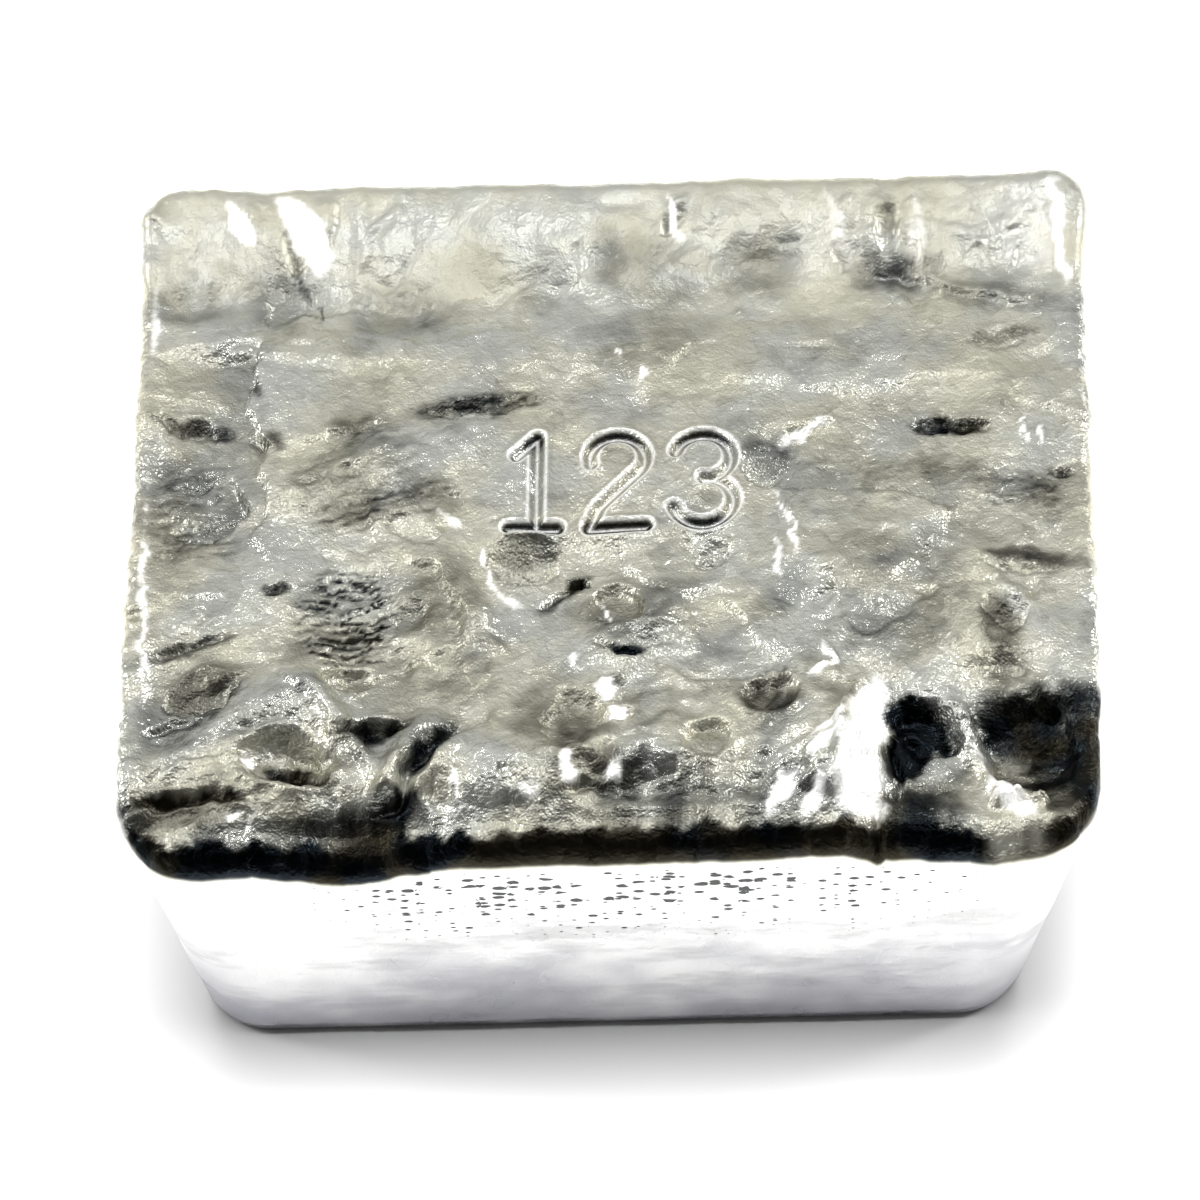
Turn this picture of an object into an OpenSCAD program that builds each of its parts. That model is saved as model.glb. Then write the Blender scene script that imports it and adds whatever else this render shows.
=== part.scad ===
// Small open-mould ingot of white metal: one solid casting.
// The mould gives it a flat foot, four drafted walls and rounded corners.
// The pour face on top froze in the open air, so it is wavy, with a bank along its back edge,
// hollows where the metal shrank and a soft lip where it met the mould walls.
//
// Frame: millimetres, +Z up, the foot rests on Z = 0, the front wall faces -Y.

/* [Body] */
// Width of the mould's mouth, level with the top of the back bank
top_w = 62; // [50:1:80]
// Depth of the mould's mouth, front to back
top_d = 54; // [44:1:70]
// Height of the back bank above the foot
body_h = 28; // [20:1:34]
// Draft of the mould walls, in degrees
draft = 10; // [4:1:14]
// How far the hand-made mould leans out of square, seen from above, in degrees
skew = 1.5; // [-3:0.5:3]

/* [Edges] */
// Corner radius at the front of the mould, seen from above
front_corner_r = 4.5; // [3.5:0.5:6]
// Corner radius at the back of the mould, seen from above
back_corner_r = 3; // [2.5:0.5:6]
// Radius where the mould floor meets its walls
foot_r = 1.6; // [0.8:0.2:2.4]
// Radius of the lip along the front edge
front_lip_r = 2.4; // [1.2:0.2:3]
// Radius of the lip along the two side edges
side_lip_r = 1; // [0.6:0.2:2]
// Radius of the lip along the back edge
back_lip_r = 1.4; // [0.8:0.2:2]

/* [Pour face] */
// Rise of the bank along the back edge
bank_rise = 1.6; // [0.4:0.2:2.4]
// Run of the bank, from its foot to the back edge
bank_run = 9; // [6:1:12]
// Droop of the face towards the front edge
front_droop = 1.4; // [0.4:0.2:2]
// Run of the front droop
droop_run = 8; // [5:1:12]
// Share of the modelled hollows' and swells' full height
wave_share = 1; // [0:0.1:1.2]

/* [Hidden] */

// Segments along each corner arc, along the straight edges, up the walls and over the pour face
ARC_STEPS = 4;
EDGE_STEPS_X = 16;
EDGE_STEPS_Y = 14;
FOOT_STEPS = 2;
WALL_STEPS = 4;
LIP_STEPS = 4;
FACE_RINGS = 14;

// Hollows (negative height) and swells (positive) of the pour face.
// Each is [centre as shares of the half width and half depth, radii, turn in degrees, height].
WAVES = [
    [[ 0.79, -0.75], [6.5, 4.5],   8, -2.2], // front right basin
    [[-0.86, -0.86], [4.2, 2.6],  20, -1.0], // front left petal
    [[-0.57, -0.93], [6.0, 2.0],   4, -1.2], // front left trough
    [[-0.65, -0.69], [2.8, 1.8],  -8, -1.4], // eye-shaped shrink hole
    [[-0.53, -0.29], [3.6, 4.4],  10, -0.9], // wrinkled pan
    [[-0.88,  0.02], [4.5, 5.5],   0, -0.8], // left hollow
    [[-0.56,  0.12], [9.0, 2.0],  20,  0.7], // left ridge
    [[-0.05, -0.17], [3.0, 2.5],   0, -0.8], // middle pit
    [[ 0.53, -0.18], [7.0, 6.0],   0,  0.8], // right plate
    [[ 0.02, -0.73], [9.0, 3.5],   0,  0.7], // front middle rubble
    [[ 0.00,  0.62], [26., 2.6],   0, -0.5]  // valley along the foot of the bank
];

HALF_W = top_w / 2;
HALF_D = top_d / 2;
FACE_Z = body_h - bank_rise;

// 0 before a, 1 after b, and a smooth rise between
function ease(a, b, v) =
    let (t = min(1, max(0, (v - a) / (b - a)))) t * t * (3 - 2 * t);

function total(list) = list * [for (item = list) 1];

// Height of one wave above the face at x, y
function wave(w, x, y) =
    let (
        dx = x - w[0].x * HALF_W,
        dy = y - w[0].y * HALF_D,
        along = (dx * cos(w[2]) + dy * sin(w[2])) / w[1].x,
        across = (dy * cos(w[2]) - dx * sin(w[2])) / w[1].y
    )
    wave_share * w[3] * exp(-along * along - across * across);

// Height of the pour face at x, y
function pour_z(x, y) =
    FACE_Z
    + bank_rise * ease(HALF_D - bank_run, HALF_D - back_lip_r, y)
    - front_droop * ease(HALF_D - droop_run, HALF_D, -y)
    + total([for (w = WAVES) wave(w, x, y)]);

// The mould's four corners in turn: [signs of x and y, radius, angle where its arc starts]
CORNERS = [
    [[ 1, -1], front_corner_r, -90],
    [[ 1,  1], back_corner_r,    0],
    [[-1,  1], back_corner_r,   90],
    [[-1, -1], front_corner_r, 180]
];

function arc_point(corner, inset, angle) =
    let (r = corner[1])
    [
        corner[0].x * (HALF_W - inset - r) + r * cos(angle),
        corner[0].y * (HALF_D - inset - r) + r * sin(angle)
    ];

// One point of the cavity's outline where the wall is set in by inset.
// at is [corner number, step]: steps past the arc run along the straight edge to the next corner.
function outline_point(at, inset) =
    let (
        here = CORNERS[at[0]],
        next = CORNERS[(at[0] + 1) % 4],
        steps = edge_steps(at[0]),
        turned = min(at[1], ARC_STEPS) * 90 / ARC_STEPS,
        start = arc_point(here, inset, here[2] + turned),
        end = arc_point(next, inset, next[2]),
        share = max(0, at[1] - ARC_STEPS) / steps
    )
    start + (end - start) * share;

// Outward direction of the outline at the same point
function outline_normal(at) =
    let (angle = CORNERS[at[0]][2] + min(at[1], ARC_STEPS) * 90 / ARC_STEPS)
    [cos(angle), sin(angle)];

function edge_steps(corner) = corner % 2 == 0 ? EDGE_STEPS_Y : EDGE_STEPS_X;

STATIONS = [
    for (corner = [0:3])
    for (step = [0:ARC_STEPS + edge_steps(corner) - 1]) [corner, step]
];
COUNT = len(STATIONS);

// Lip radius for an outward direction, blended round the corners
function lip_r(normal) =
    side_lip_r
    + (front_lip_r - side_lip_r) * pow(max(0, -normal.y), 2)
    + (back_lip_r - side_lip_r) * pow(max(0, normal.y), 2);

function wall_inset(z) = (body_h - z) * tan(draft);

// Per station: [lip radius, height of the pour face just inside the lip]
RIM = [
    for (at = STATIONS)
    let (
        normal = outline_normal(at),
        r = lip_r(normal),
        inner = outline_point(at, 0) - normal * r
    )
    [r, pour_z(inner.x, inner.y)]
];

// Rings of points from the foot up the walls, over the lip and in to the middle of the pour face
function foot_ring(step) =
    let (angle = 90 * step / FOOT_STEPS, z = foot_r * (1 - cos(angle)))
    [
        for (at = STATIONS)
        let (p = outline_point(at, wall_inset(foot_r)) - outline_normal(at) * foot_r * (1 - sin(angle)))
        [p.x, p.y, z]
    ];

function wall_ring(step) = [
    for (i = [0:COUNT - 1])
    let (
        top = RIM[i][1] - RIM[i][0],
        z = foot_r + (top - foot_r) * step / WALL_STEPS,
        p = outline_point(STATIONS[i], wall_inset(z))
    )
    [p.x, p.y, z]
];

function lip_ring(step) = [
    for (i = [0:COUNT - 1])
    let (
        r = RIM[i][0],
        angle = 90 * step / LIP_STEPS,
        top = RIM[i][1] - r,
        p = outline_point(STATIONS[i], wall_inset(top))
            - outline_normal(STATIONS[i]) * r * (1 - cos(angle))
    )
    [p.x, p.y, top + r * sin(angle)]
];

RIM_RING = lip_ring(LIP_STEPS);

function face_ring(step) =
    let (share = 1 - step / FACE_RINGS)
    [for (p = RIM_RING) [p.x * share, p.y * share, pour_z(p.x * share, p.y * share)]];

RINGS = concat(
    [for (step = [0:FOOT_STEPS]) foot_ring(step)],
    [for (step = [1:WALL_STEPS]) wall_ring(step)],
    [for (step = [1:LIP_STEPS]) lip_ring(step)],
    [for (step = [1:FACE_RINGS - 1]) face_ring(step)]
);
LAST = len(RINGS) - 1;

function skewed(p) = [p.x + p.y * tan(skew), p.y, p.z];

POINTS = [for (p = concat([for (ring = RINGS) each ring], [[0, 0, pour_z(0, 0)], [0, 0, 0]])) skewed(p)];
FACE_MIDDLE = len(POINTS) - 2;
FOOT_MIDDLE = len(POINTS) - 1;

FACES = concat(
    [for (i = [0:COUNT - 1]) [FOOT_MIDDLE, i, (i + 1) % COUNT]],
    [
        for (level = [0:LAST - 1])
        for (i = [0:COUNT - 1])
        let (
            j = (i + 1) % COUNT,
            low = level * COUNT,
            high = low + COUNT
        )
        each [[low + i, high + i, high + j], [low + i, high + j, low + j]]
    ],
    [for (i = [0:COUNT - 1]) [LAST * COUNT + i, FACE_MIDDLE, LAST * COUNT + (i + 1) % COUNT]]
);

// The rim isn't level, so the walls reach a little further out where it is high:
// this brings the whole casting back over the origin
XS = [for (p = POINTS) p.x];
YS = [for (p = POINTS) p.y];
CENTRE = [(min(XS) + max(XS)) / 2, (min(YS) + max(YS)) / 2, 0];

// The casting
module ingot() {
    color([0.78, 0.78, 0.75])
        translate(-CENTRE)
            polyhedron(points = POINTS, faces = FACES, convexity = 6);
}

ingot();
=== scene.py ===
"""Looks of a small ingot of white metal, cast in an open tapered mould.

The whole ingot is one casting, so it is one mesh: a drafted block whose pour face is sculpted with
the folds, facets, shrink holes and rubble of metal that froze in the open air.
Relief is worked out in millimetres on the pour face, then turned into the frame's metres.
"""

import logging
import math
from collections.abc import Callable
from dataclasses import dataclass, field
from enum import Enum

import bmesh
import bpy
import numpy as np
from mathutils import Matrix, Vector


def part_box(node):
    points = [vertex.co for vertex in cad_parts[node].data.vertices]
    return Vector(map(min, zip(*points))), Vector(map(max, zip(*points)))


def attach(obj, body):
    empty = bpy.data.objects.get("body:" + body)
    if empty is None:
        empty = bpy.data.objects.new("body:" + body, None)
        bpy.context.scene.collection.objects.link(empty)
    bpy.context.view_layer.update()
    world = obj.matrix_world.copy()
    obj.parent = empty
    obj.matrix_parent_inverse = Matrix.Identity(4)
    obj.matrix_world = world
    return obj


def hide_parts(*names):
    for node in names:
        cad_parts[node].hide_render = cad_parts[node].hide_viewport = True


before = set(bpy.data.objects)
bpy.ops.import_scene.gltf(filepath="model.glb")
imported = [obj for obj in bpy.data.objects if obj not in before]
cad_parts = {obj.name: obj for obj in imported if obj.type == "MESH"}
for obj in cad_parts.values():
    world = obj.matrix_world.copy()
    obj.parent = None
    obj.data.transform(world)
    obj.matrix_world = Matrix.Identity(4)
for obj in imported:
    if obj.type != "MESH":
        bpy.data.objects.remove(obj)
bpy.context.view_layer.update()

LOG = logging.getLogger("ingot")
FAR = 1e9  # mm: farther than anything on the face
ARC_STEPS = 22
MM_PER_M = 1000.0
FLUSH = 1e-6  # rows: a vertex nearer the rim than this lies on the pour face

Array = np.ndarray
Points = tuple[tuple[float, float], ...]
Colour = tuple[float, float, float]
Tree = bpy.types.NodeTree
Socket = bpy.types.NodeSocket


def ease(low: float, high: float, value: Array) -> Array:
    """Rise smoothly from 0 at low to 1 at high.

    Args:
        low: Where the rise starts.
        high: Where it ends.
        value: Places to evaluate.

    Returns:
        The share of the rise at each place.
    """
    share = np.clip((value - low) / (high - low), 0.0, 1.0)
    return share * share * (3.0 - 2.0 * share)


def bell(value: Array, middle: float, width: float) -> Array:
    """Give a bell curve of height 1 about its middle."""
    return np.exp(-(((value - middle) / width) ** 2))


def turned(x: Array, y: Array, cx: float, cy: float, turn: float) -> tuple[Array, Array]:
    """Give places in the axes of a feature.

    Args:
        x: Places across the face.
        y: Places from front to back.
        cx: Feature centre, x.
        cy: Feature centre, y.
        turn: Turn of the feature's long axis from +X, in degrees.

    Returns:
        Distances along and across the feature's long axis.
    """
    c, s = math.cos(math.radians(turn)), math.sin(math.radians(turn))
    dx, dy = x - cx, y - cy
    return dx * c + dy * s, dy * c - dx * s


# ---------------------------------------------------------------- seeded patterns


class Noise:
    """Seeded gradient noise over a plane, about -0.7 to 0.7."""

    SIZE = 256

    def __init__(self, seed: int) -> None:
        """Draw the lattice of gradients for a seed."""
        angle = np.random.default_rng(seed).random((self.SIZE, self.SIZE)) * math.tau
        self.gx, self.gy = np.cos(angle), np.sin(angle)

    def __call__(self, x: Array, y: Array) -> Array:
        """Evaluate the noise.

        Args:
            x: Places, one lattice step per unit.
            y: The same for the other direction.

        Returns:
            The noise at each place.
        """
        ix, iy = np.floor(x).astype(int), np.floor(y).astype(int)
        fx, fy = x - ix, y - iy
        sx = fx * fx * fx * (fx * (fx * 6 - 15) + 10)
        sy = fy * fy * fy * (fy * (fy * 6 - 15) + 10)
        total = np.zeros_like(fx)
        for ox in (0, 1):
            for oy in (0, 1):
                jx, jy = (ix + ox) % self.SIZE, (iy + oy) % self.SIZE
                dot = self.gx[jx, jy] * (fx - ox) + self.gy[jx, jy] * (fy - oy)
                total += dot * (sx if ox else 1 - sx) * (sy if oy else 1 - sy)
        return total

    def layers(self, x: Array, y: Array, count: int, gain: float = 0.5) -> Array:
        """Sum octaves of the noise.

        Args:
            x: Places, one lattice step per unit in the first octave.
            y: The same for the other direction.
            count: Octaves.
            gain: Strength of each octave over the last.

        Returns:
            The summed noise.
        """
        total, strength = np.zeros_like(x), 1.0
        for k in range(count):
            scale = 2.0**k
            total += strength * self(x * scale + 17.3 * k, y * scale - 9.1 * k)
            strength *= gain
        return total

    def warp(
        self, x: Array, y: Array, amount: float, scale: float, shift: float, count: int, gain: float = 0.5
    ) -> tuple[Array, Array]:
        """Push places about by two reads of the noise.

        Args:
            x: Places across.
            y: Places along.
            amount: Strength of the push.
            scale: Size of a lattice step.
            shift: Lattice steps between the two reads.
            count: Octaves.
            gain: Strength of each octave over the last.

        Returns:
            The moved places.
        """
        wx = x + amount * self.layers(x / scale, y / scale, count, gain)
        return wx, y + amount * self.layers(x / scale + shift, y / scale, count, gain)


class Cells:
    """Seeded cells, each with its own centre, level and tilt, like crystals or shell-shaped scoops."""

    SIZE = 128
    JITTER = 0.85

    def __init__(self, seed: int) -> None:
        """Draw every cell's centre, level and tilt for a seed."""
        rng = np.random.default_rng(seed)
        shape = (self.SIZE, self.SIZE)
        self.cx = 0.5 + self.JITTER * (rng.random(shape) - 0.5)
        self.cy = 0.5 + self.JITTER * (rng.random(shape) - 0.5)
        self.level = rng.random(shape)
        self.tilt_x = rng.normal(size=shape)
        self.tilt_y = rng.normal(size=shape)

    def scoops(self, x: Array, y: Array, tilt: float, bowl: float = 0.5, level: float = 0.5) -> Array:
        """Give the lowest of every cell's tilted bowl: smooth scoops that meet in sharp ridges.

        Args:
            x: Places, one cell per unit.
            y: The same for the other direction.
            tilt: Typical slope of a bowl's middle.
            bowl: Curvature of each bowl.
            level: Spread of the bowls' heights.

        Returns:
            Height of the surface, in cell units.
        """
        ix, iy = np.floor(x).astype(int), np.floor(y).astype(int)
        best = np.full(x.shape, FAR)
        for ox in (-1, 0, 1):
            for oy in (-1, 0, 1):
                jx, jy = (ix + ox) % self.SIZE, (iy + oy) % self.SIZE
                dx = x - (ix + ox + self.cx[jx, jy])
                dy = y - (iy + oy + self.cy[jx, jy])
                slope = tilt * (self.tilt_x[jx, jy] * dx + self.tilt_y[jx, jy] * dy)
                best = np.minimum(best, bowl * (dx * dx + dy * dy) + slope + level * self.level[jx, jy])
        return best


# ---------------------------------------------------------------- features of the pour face


@dataclass(frozen=True)
class Spot:
    """An oval place on the face: its centre, its radii and the turn of its first radius."""

    x: float
    y: float
    rx: float
    ry: float
    turn: float

    def local(self, x: Array, y: Array) -> tuple[Array, Array, Array]:
        """Give places in the spot's own axes.

        Args:
            x: Places across the face.
            y: Places from front to back.

        Returns:
            Distances along and across the spot, and the share of its radius.
        """
        along, across = turned(x, y, self.x, self.y, self.turn)
        return along, across, np.sqrt((along / self.rx) ** 2 + (across / self.ry) ** 2)


@dataclass(frozen=True)
class Swell(Spot):
    """A soft hill, or a hollow where the height is negative."""

    height: float

    def relief(self, x: Array, y: Array) -> Array:
        """Give the swell's heights in mm."""
        along, across, _ = self.local(x, y)
        return self.height * np.exp(-((along / self.rx) ** 2) - (across / self.ry) ** 2)


@dataclass(frozen=True)
class Pit(Spot):
    """A steep-sided hole with a flat floor and a slightly raised rim."""

    depth: float
    rim: float = 0.0

    def relief(self, x: Array, y: Array) -> Array:
        """Give the hole's heights in mm."""
        _, _, r = self.local(x, y)
        return -self.depth * (1 - ease(0.55, 1.05, r)) + self.rim * bell(r, 1.12, 0.14)


@dataclass(frozen=True)
class Leaf(Spot):
    """A lens-shaped facet: a plane of its own tilt, cut into the face with a crisp edge."""

    tilt_along: float
    tilt_across: float
    drop: float = 0.0
    rim: float = 0.0

    def relief(self, x: Array, y: Array) -> Array:
        """Give the facet's heights.

        Args:
            x: Places across the face.
            y: Places from front to back.

        Returns:
            Heights in mm.
        """
        along, across, _ = self.local(x, y)
        lens = np.abs(across / self.ry) + (along / self.rx) ** 2
        plane = self.tilt_along * along + self.tilt_across * across - self.drop
        return (1 - ease(0.86, 1.0, lens)) * plane + self.rim * bell(lens, 1.0, 0.1)


@dataclass(frozen=True)
class Line:
    """A polyline on the face."""

    points: Points

    def distance(self, x: Array, y: Array) -> tuple[Array, Array, Array]:
        """Measure from the line.

        Args:
            x: Places across the face.
            y: Places from front to back.

        Returns:
            The distance, the side (1 on the left of the way along, -1 on the right) and the share
            of the line's length at the nearest point.
        """
        best = np.full(x.shape, FAR)
        side, share = np.ones(x.shape), np.zeros(x.shape)
        points = np.array(self.points, float)
        steps = np.diff(points, axis=0)
        lengths = np.hypot(steps[:, 0], steps[:, 1])
        total, done = lengths.sum(), 0.0
        for (px, py), (sx, sy), length in zip(points[:-1], steps, lengths):
            t = np.clip(((x - px) * sx + (y - py) * sy) / length**2, 0, 1)
            dx, dy = x - px - t * sx, y - py - t * sy
            d = np.hypot(dx, dy)
            near = d < best
            best = np.where(near, d, best)
            side = np.where(near, np.where(sx * dy - sy * dx > 0, 1.0, -1.0), side)
            share = np.where(near, (done + t * length) / total, share)
            done += length
        return best, side, share

    def spread(
        self,
        x: Array,
        y: Array,
        width: float,
        profile: Callable[[Array, Array], Array],
        taper: float = 0.3,
        overrun: float = 0.02,
    ) -> Array:
        """Lay a profile along the line, tapered at both of its ends.

        Args:
            x: Places across the face.
            y: Places from front to back.
            width: Width of the profile, which is cut off at three of them.
            profile: Gives values for distances and sides.
            taper: Share of the line's length that each taper takes.
            overrun: How far the tapers reach past the line's ends, as a share of its length.

        Returns:
            The profile's values, 0 away from the line.
        """
        points = np.array(self.points, float)
        low, high = points.min(0) - 3 * width, points.max(0) + 3 * width
        near = (x > low[0]) & (x < high[0]) & (y > low[1]) & (y < high[1])
        d, side, share = self.distance(x[near], y[near])
        ends = ease(-overrun, taper, share) * (1 - ease(1 - taper, 1 + overrun, share))
        out = np.zeros(x.shape)
        out[near] = profile(d, side) * ends
        return out


@dataclass(frozen=True)
class Crease(Line):
    """A groove along a line, or a thin raised bead where the depth is negative."""

    width: float
    depth: float
    lip: float = 0.0

    def relief(self, x: Array, y: Array) -> Array:
        """Give the groove's heights in mm."""
        w = self.width
        return self.spread(
            x, y, w, lambda d, _: self.lip * bell(d, 1.7 * w, 0.6 * w) - self.depth * bell(d, 0.0, w)
        )


@dataclass(frozen=True)
class Fold(Line):
    """A cold fold: the metal on the left of the line lies higher, with a sharp edge that dies away."""

    step: float
    run: float
    edge: float = 0.12

    def relief(self, x: Array, y: Array) -> Array:
        """Give the fold's heights.

        Args:
            x: Places across the face.
            y: Places from front to back.

        Returns:
            Heights in mm.
        """

        def plate(d: Array, side: Array) -> Array:
            """Give the raised plate, highest at its edge."""
            return self.step * ease(-self.edge, self.edge, d * side) * bell(d, 0.0, self.run)

        return self.spread(x, y, self.run, plate, overrun=0.0)


@dataclass(frozen=True)
class Ripples(Spot):
    """A patch of fine parallel wrinkles, broken up along their length, whose creases are darkened with painted
    shade.
    """

    pitch: float
    height: float
    wander: float = 1.0
    seed: int = 5
    shade_and_dirt: float = 0.3

    def crest(self, x: Array, y: Array) -> tuple[Array, Array]:
        """Give the wrinkles' shape.

        Args:
            x: Places across the face.
            y: Places from front to back.

        Returns:
            The sharp lines, 0 between them and about 1 on them, and how far the patch has faded.
        """
        along, across, r = self.local(x, y)
        noise = Noise(self.seed)
        bend = self.wander * noise.layers(along / 2.2, across / 2.2, 2)
        bend += 0.5 * self.wander * noise(along * 1.1, across * 1.1)
        wave = np.cos(math.tau * (across / self.pitch + bend))
        line = 1 - np.sqrt(0.5 - 0.5 * wave * 0.98)
        broken = 0.6 + 0.9 * noise(along * 0.27 / self.pitch + 40, across * 0.7 / self.pitch)
        return line, broken * (1 - ease(0.6, 1.2, r))

    def relief(self, x: Array, y: Array) -> Array:
        """Give the wrinkles' heights in mm."""
        line, share = self.crest(x, y)
        return self.height * (line - 0.5) * share

    def cover(self, x: Array, y: Array) -> Array:
        """Give the strength of the painted shade in the creases."""
        # Painted shade: darkest on the sharp crease lines.
        line, share = self.crest(x, y)
        return 1.6 * self.shade_and_dirt * np.clip(line - 0.3, 0, 1) * share


@dataclass(frozen=True)
class Rubble(Spot):
    """A patch where crystals stand out in small sharp facets."""

    cell: float
    height: float
    stretch: float = 1.0
    seed: int = 3

    def relief(self, x: Array, y: Array) -> Array:
        """Give the crystals' heights.

        Args:
            x: Places across the face.
            y: Places from front to back.

        Returns:
            Heights in mm.
        """
        along, across, r = self.local(x, y)
        near = r < 1.25
        wx, wy = Noise(self.seed).warp(along[near], across[near], 0.35 * self.cell, self.cell, 30, 2)
        facets = Cells(self.seed + 1).scoops(wx / (self.cell * self.stretch), wy / self.cell, 0.55)
        out = np.zeros(x.shape)
        out[near] = self.height * (facets - 0.35) * (1 - ease(0.55, 1.2, r[near]))
        return out


@dataclass(frozen=True)
class Patch(Spot):
    """A painted patch: tarnish and painted shade, or painted highlight, or the lack of it where the strength is
    negative.
    """

    strength: float

    def cover(self, x: Array, y: Array) -> Array:
        """Give how strongly the patch covers each place."""
        _, _, r = self.local(x, y)
        return self.strength * (1 - ease(0.45, 1.25, r))


@dataclass(frozen=True)
class Streak(Line):
    """A painted line."""

    width: float
    strength: float

    def cover(self, x: Array, y: Array) -> Array:
        """Give how strongly the line covers each place."""
        return self.spread(x, y, self.width, lambda d, _: self.strength * bell(d, 0.0, self.width), 0.2)


Feature = Swell | Pit | Leaf | Crease | Fold | Ripples | Rubble
Paint = Patch | Streak | Ripples


# ---------------------------------------------------------------- the punched number


class Figure(Enum):
    """The figures of the number, each as the strokes of a hand punch: arcs and lines."""

    ONE = "1"
    TWO = "2"
    THREE = "3"

    @staticmethod
    def arc(cx: float, cy: float, r: float, start: float, end: float) -> Points:
        """Give points round an arc.

        Args:
            cx: Centre, x.
            cy: Centre, y.
            r: Radius.
            start: Angle where it starts, in degrees.
            end: Angle where it ends.

        Returns:
            The points.
        """
        angles = (math.radians(start + (end - start) * k / ARC_STEPS) for k in range(ARC_STEPS + 1))
        return tuple((cx + r * math.cos(a), cy + r * math.sin(a)) for a in angles)

    def strokes(self, wide: float, tall: float) -> list[Points]:
        """Give the punch's strokes.

        Args:
            wide: Width between stroke centres.
            tall: Height between stroke centres.

        Returns:
            Polylines about the middle of the foot.
        """
        half = wide / 2
        if self is Figure.ONE:
            stem, serif = 0.12 * wide, 0.75 * half
            return [
                ((stem, 0.0), (stem, tall)),
                ((stem, tall), (stem - serif, tall * 0.8)),
                ((-serif, 0.0), (half, 0.0)),
            ]
        if self is Figure.TWO:
            bowl = self.arc(0.0, tall - half, half, 196, -38)
            sweep = ((0.1 * half, 0.42 * tall), (-0.62 * half, 0.22 * tall), (-half, 0.0))
            return [bowl + sweep, ((-half, 0.0), (1.05 * half, 0.0))]
        upper, lower, left = 0.245 * tall, 0.262 * tall, -0.02 * wide
        return [self.arc(left, tall - upper, upper, 165, -88), self.arc(left, lower, lower, 88, -165)]


@dataclass(frozen=True)
class Number:
    """The row of punched figures: sharp V grooves with a thin flat floor and a raised burr."""

    figures: tuple[Figure, ...] = (Figure.ONE, Figure.TWO, Figure.THREE)
    middle: float = 0.35
    foot: float = -1.75
    pitch: float = 5.5
    wide: float = 3.5
    tall: float = 7.3
    half_groove: float = 0.55
    half_floor: float = 0.07
    depth: float = 0.5
    burr: float = 0.1
    clear: float = 1.3

    def box(self) -> tuple[float, float, float, float]:
        """Give the low x, high x, low y and high y that the figures cover, in mm."""
        half = (len(self.figures) - 1) / 2 * self.pitch + self.wide / 2 + self.clear
        return self.middle - half, self.middle + half, self.foot - self.clear, self.foot + self.tall + self.clear

    def flatten(self, x: Array, y: Array) -> Array:
        """Give how much of the face's own relief the punch has flattened.

        Args:
            x: Places across the face.
            y: Places from front to back.

        Returns:
            The share, 0 to 1.
        """
        low_x, high_x, low_y, high_y = self.box()
        share = 1.0
        for value, low, high in ((x, low_x, high_x), (y, low_y, high_y)):
            share = share * ease(low - 1.0, low + 1.0, value) * (1 - ease(high - 1.0, high + 1.0, value))
        return share

    def distance(self, x: Array, y: Array) -> Array:
        """Measure from the nearest stroke.

        Args:
            x: Places across the face.
            y: Places from front to back.

        Returns:
            Distances in millimetres, very large away from the number.
        """
        low_x, high_x, low_y, high_y = self.box()
        near = (x > low_x) & (x < high_x) & (y > low_y) & (y < high_y)
        px, py = x[near], y[near]
        d = np.full(px.shape, FAR)
        for k, figure in enumerate(self.figures):
            cx = self.middle + (k - (len(self.figures) - 1) / 2) * self.pitch
            for stroke in figure.strokes(self.wide, self.tall):
                shifted = tuple((cx + a, self.foot + b) for a, b in stroke)
                d = np.minimum(d, Line(shifted).distance(px, py)[0])
        out = np.full(x.shape, FAR)
        out[near] = d
        return out

    def relief(self, x: Array, y: Array) -> Array:
        """Give the figures' heights.

        Args:
            x: Places across the face.
            y: Places from front to back.

        Returns:
            Heights in mm.
        """
        d = self.distance(x, y)
        groove = -self.depth * np.clip((self.half_groove - d) / (self.half_groove - self.half_floor), 0, 1)
        return groove + self.burr * bell(d, self.half_groove + 0.16, 0.15)

    def tarnish_and_shade(self, x: Array, y: Array) -> Array:
        """Give the painted shade in the foot bars and the tops of the figures, with a little in every stroke.

        Args:
            x: Places across the face.
            y: Places from front to back.

        Returns:
            The share of painted shade, 0 to 1.
        """
        # Painted shade: light in every stroke, heavy in the foot bars and the tops.
        inside = 1 - ease(self.half_groove * 0.5, self.half_groove * 0.9, self.distance(x, y))
        foot = 1 - ease(self.foot + 0.3, self.foot + 0.9, y)
        top = ease(self.foot + self.tall - 1.0, self.foot + self.tall - 0.2, y)
        return inside * (0.12 + 0.75 * np.maximum(foot, top))

    def painted_highlight(self, x: Array, y: Array) -> Array:
        """Give the painted highlight round the strokes' edges and along their floors, 0 to 1."""
        d = self.distance(x, y)
        return 0.65 * bell(d, self.half_groove, 0.12) + 0.6 * bell(d, 0.0, 0.11)


# ---------------------------------------------------------------- the casting


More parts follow.
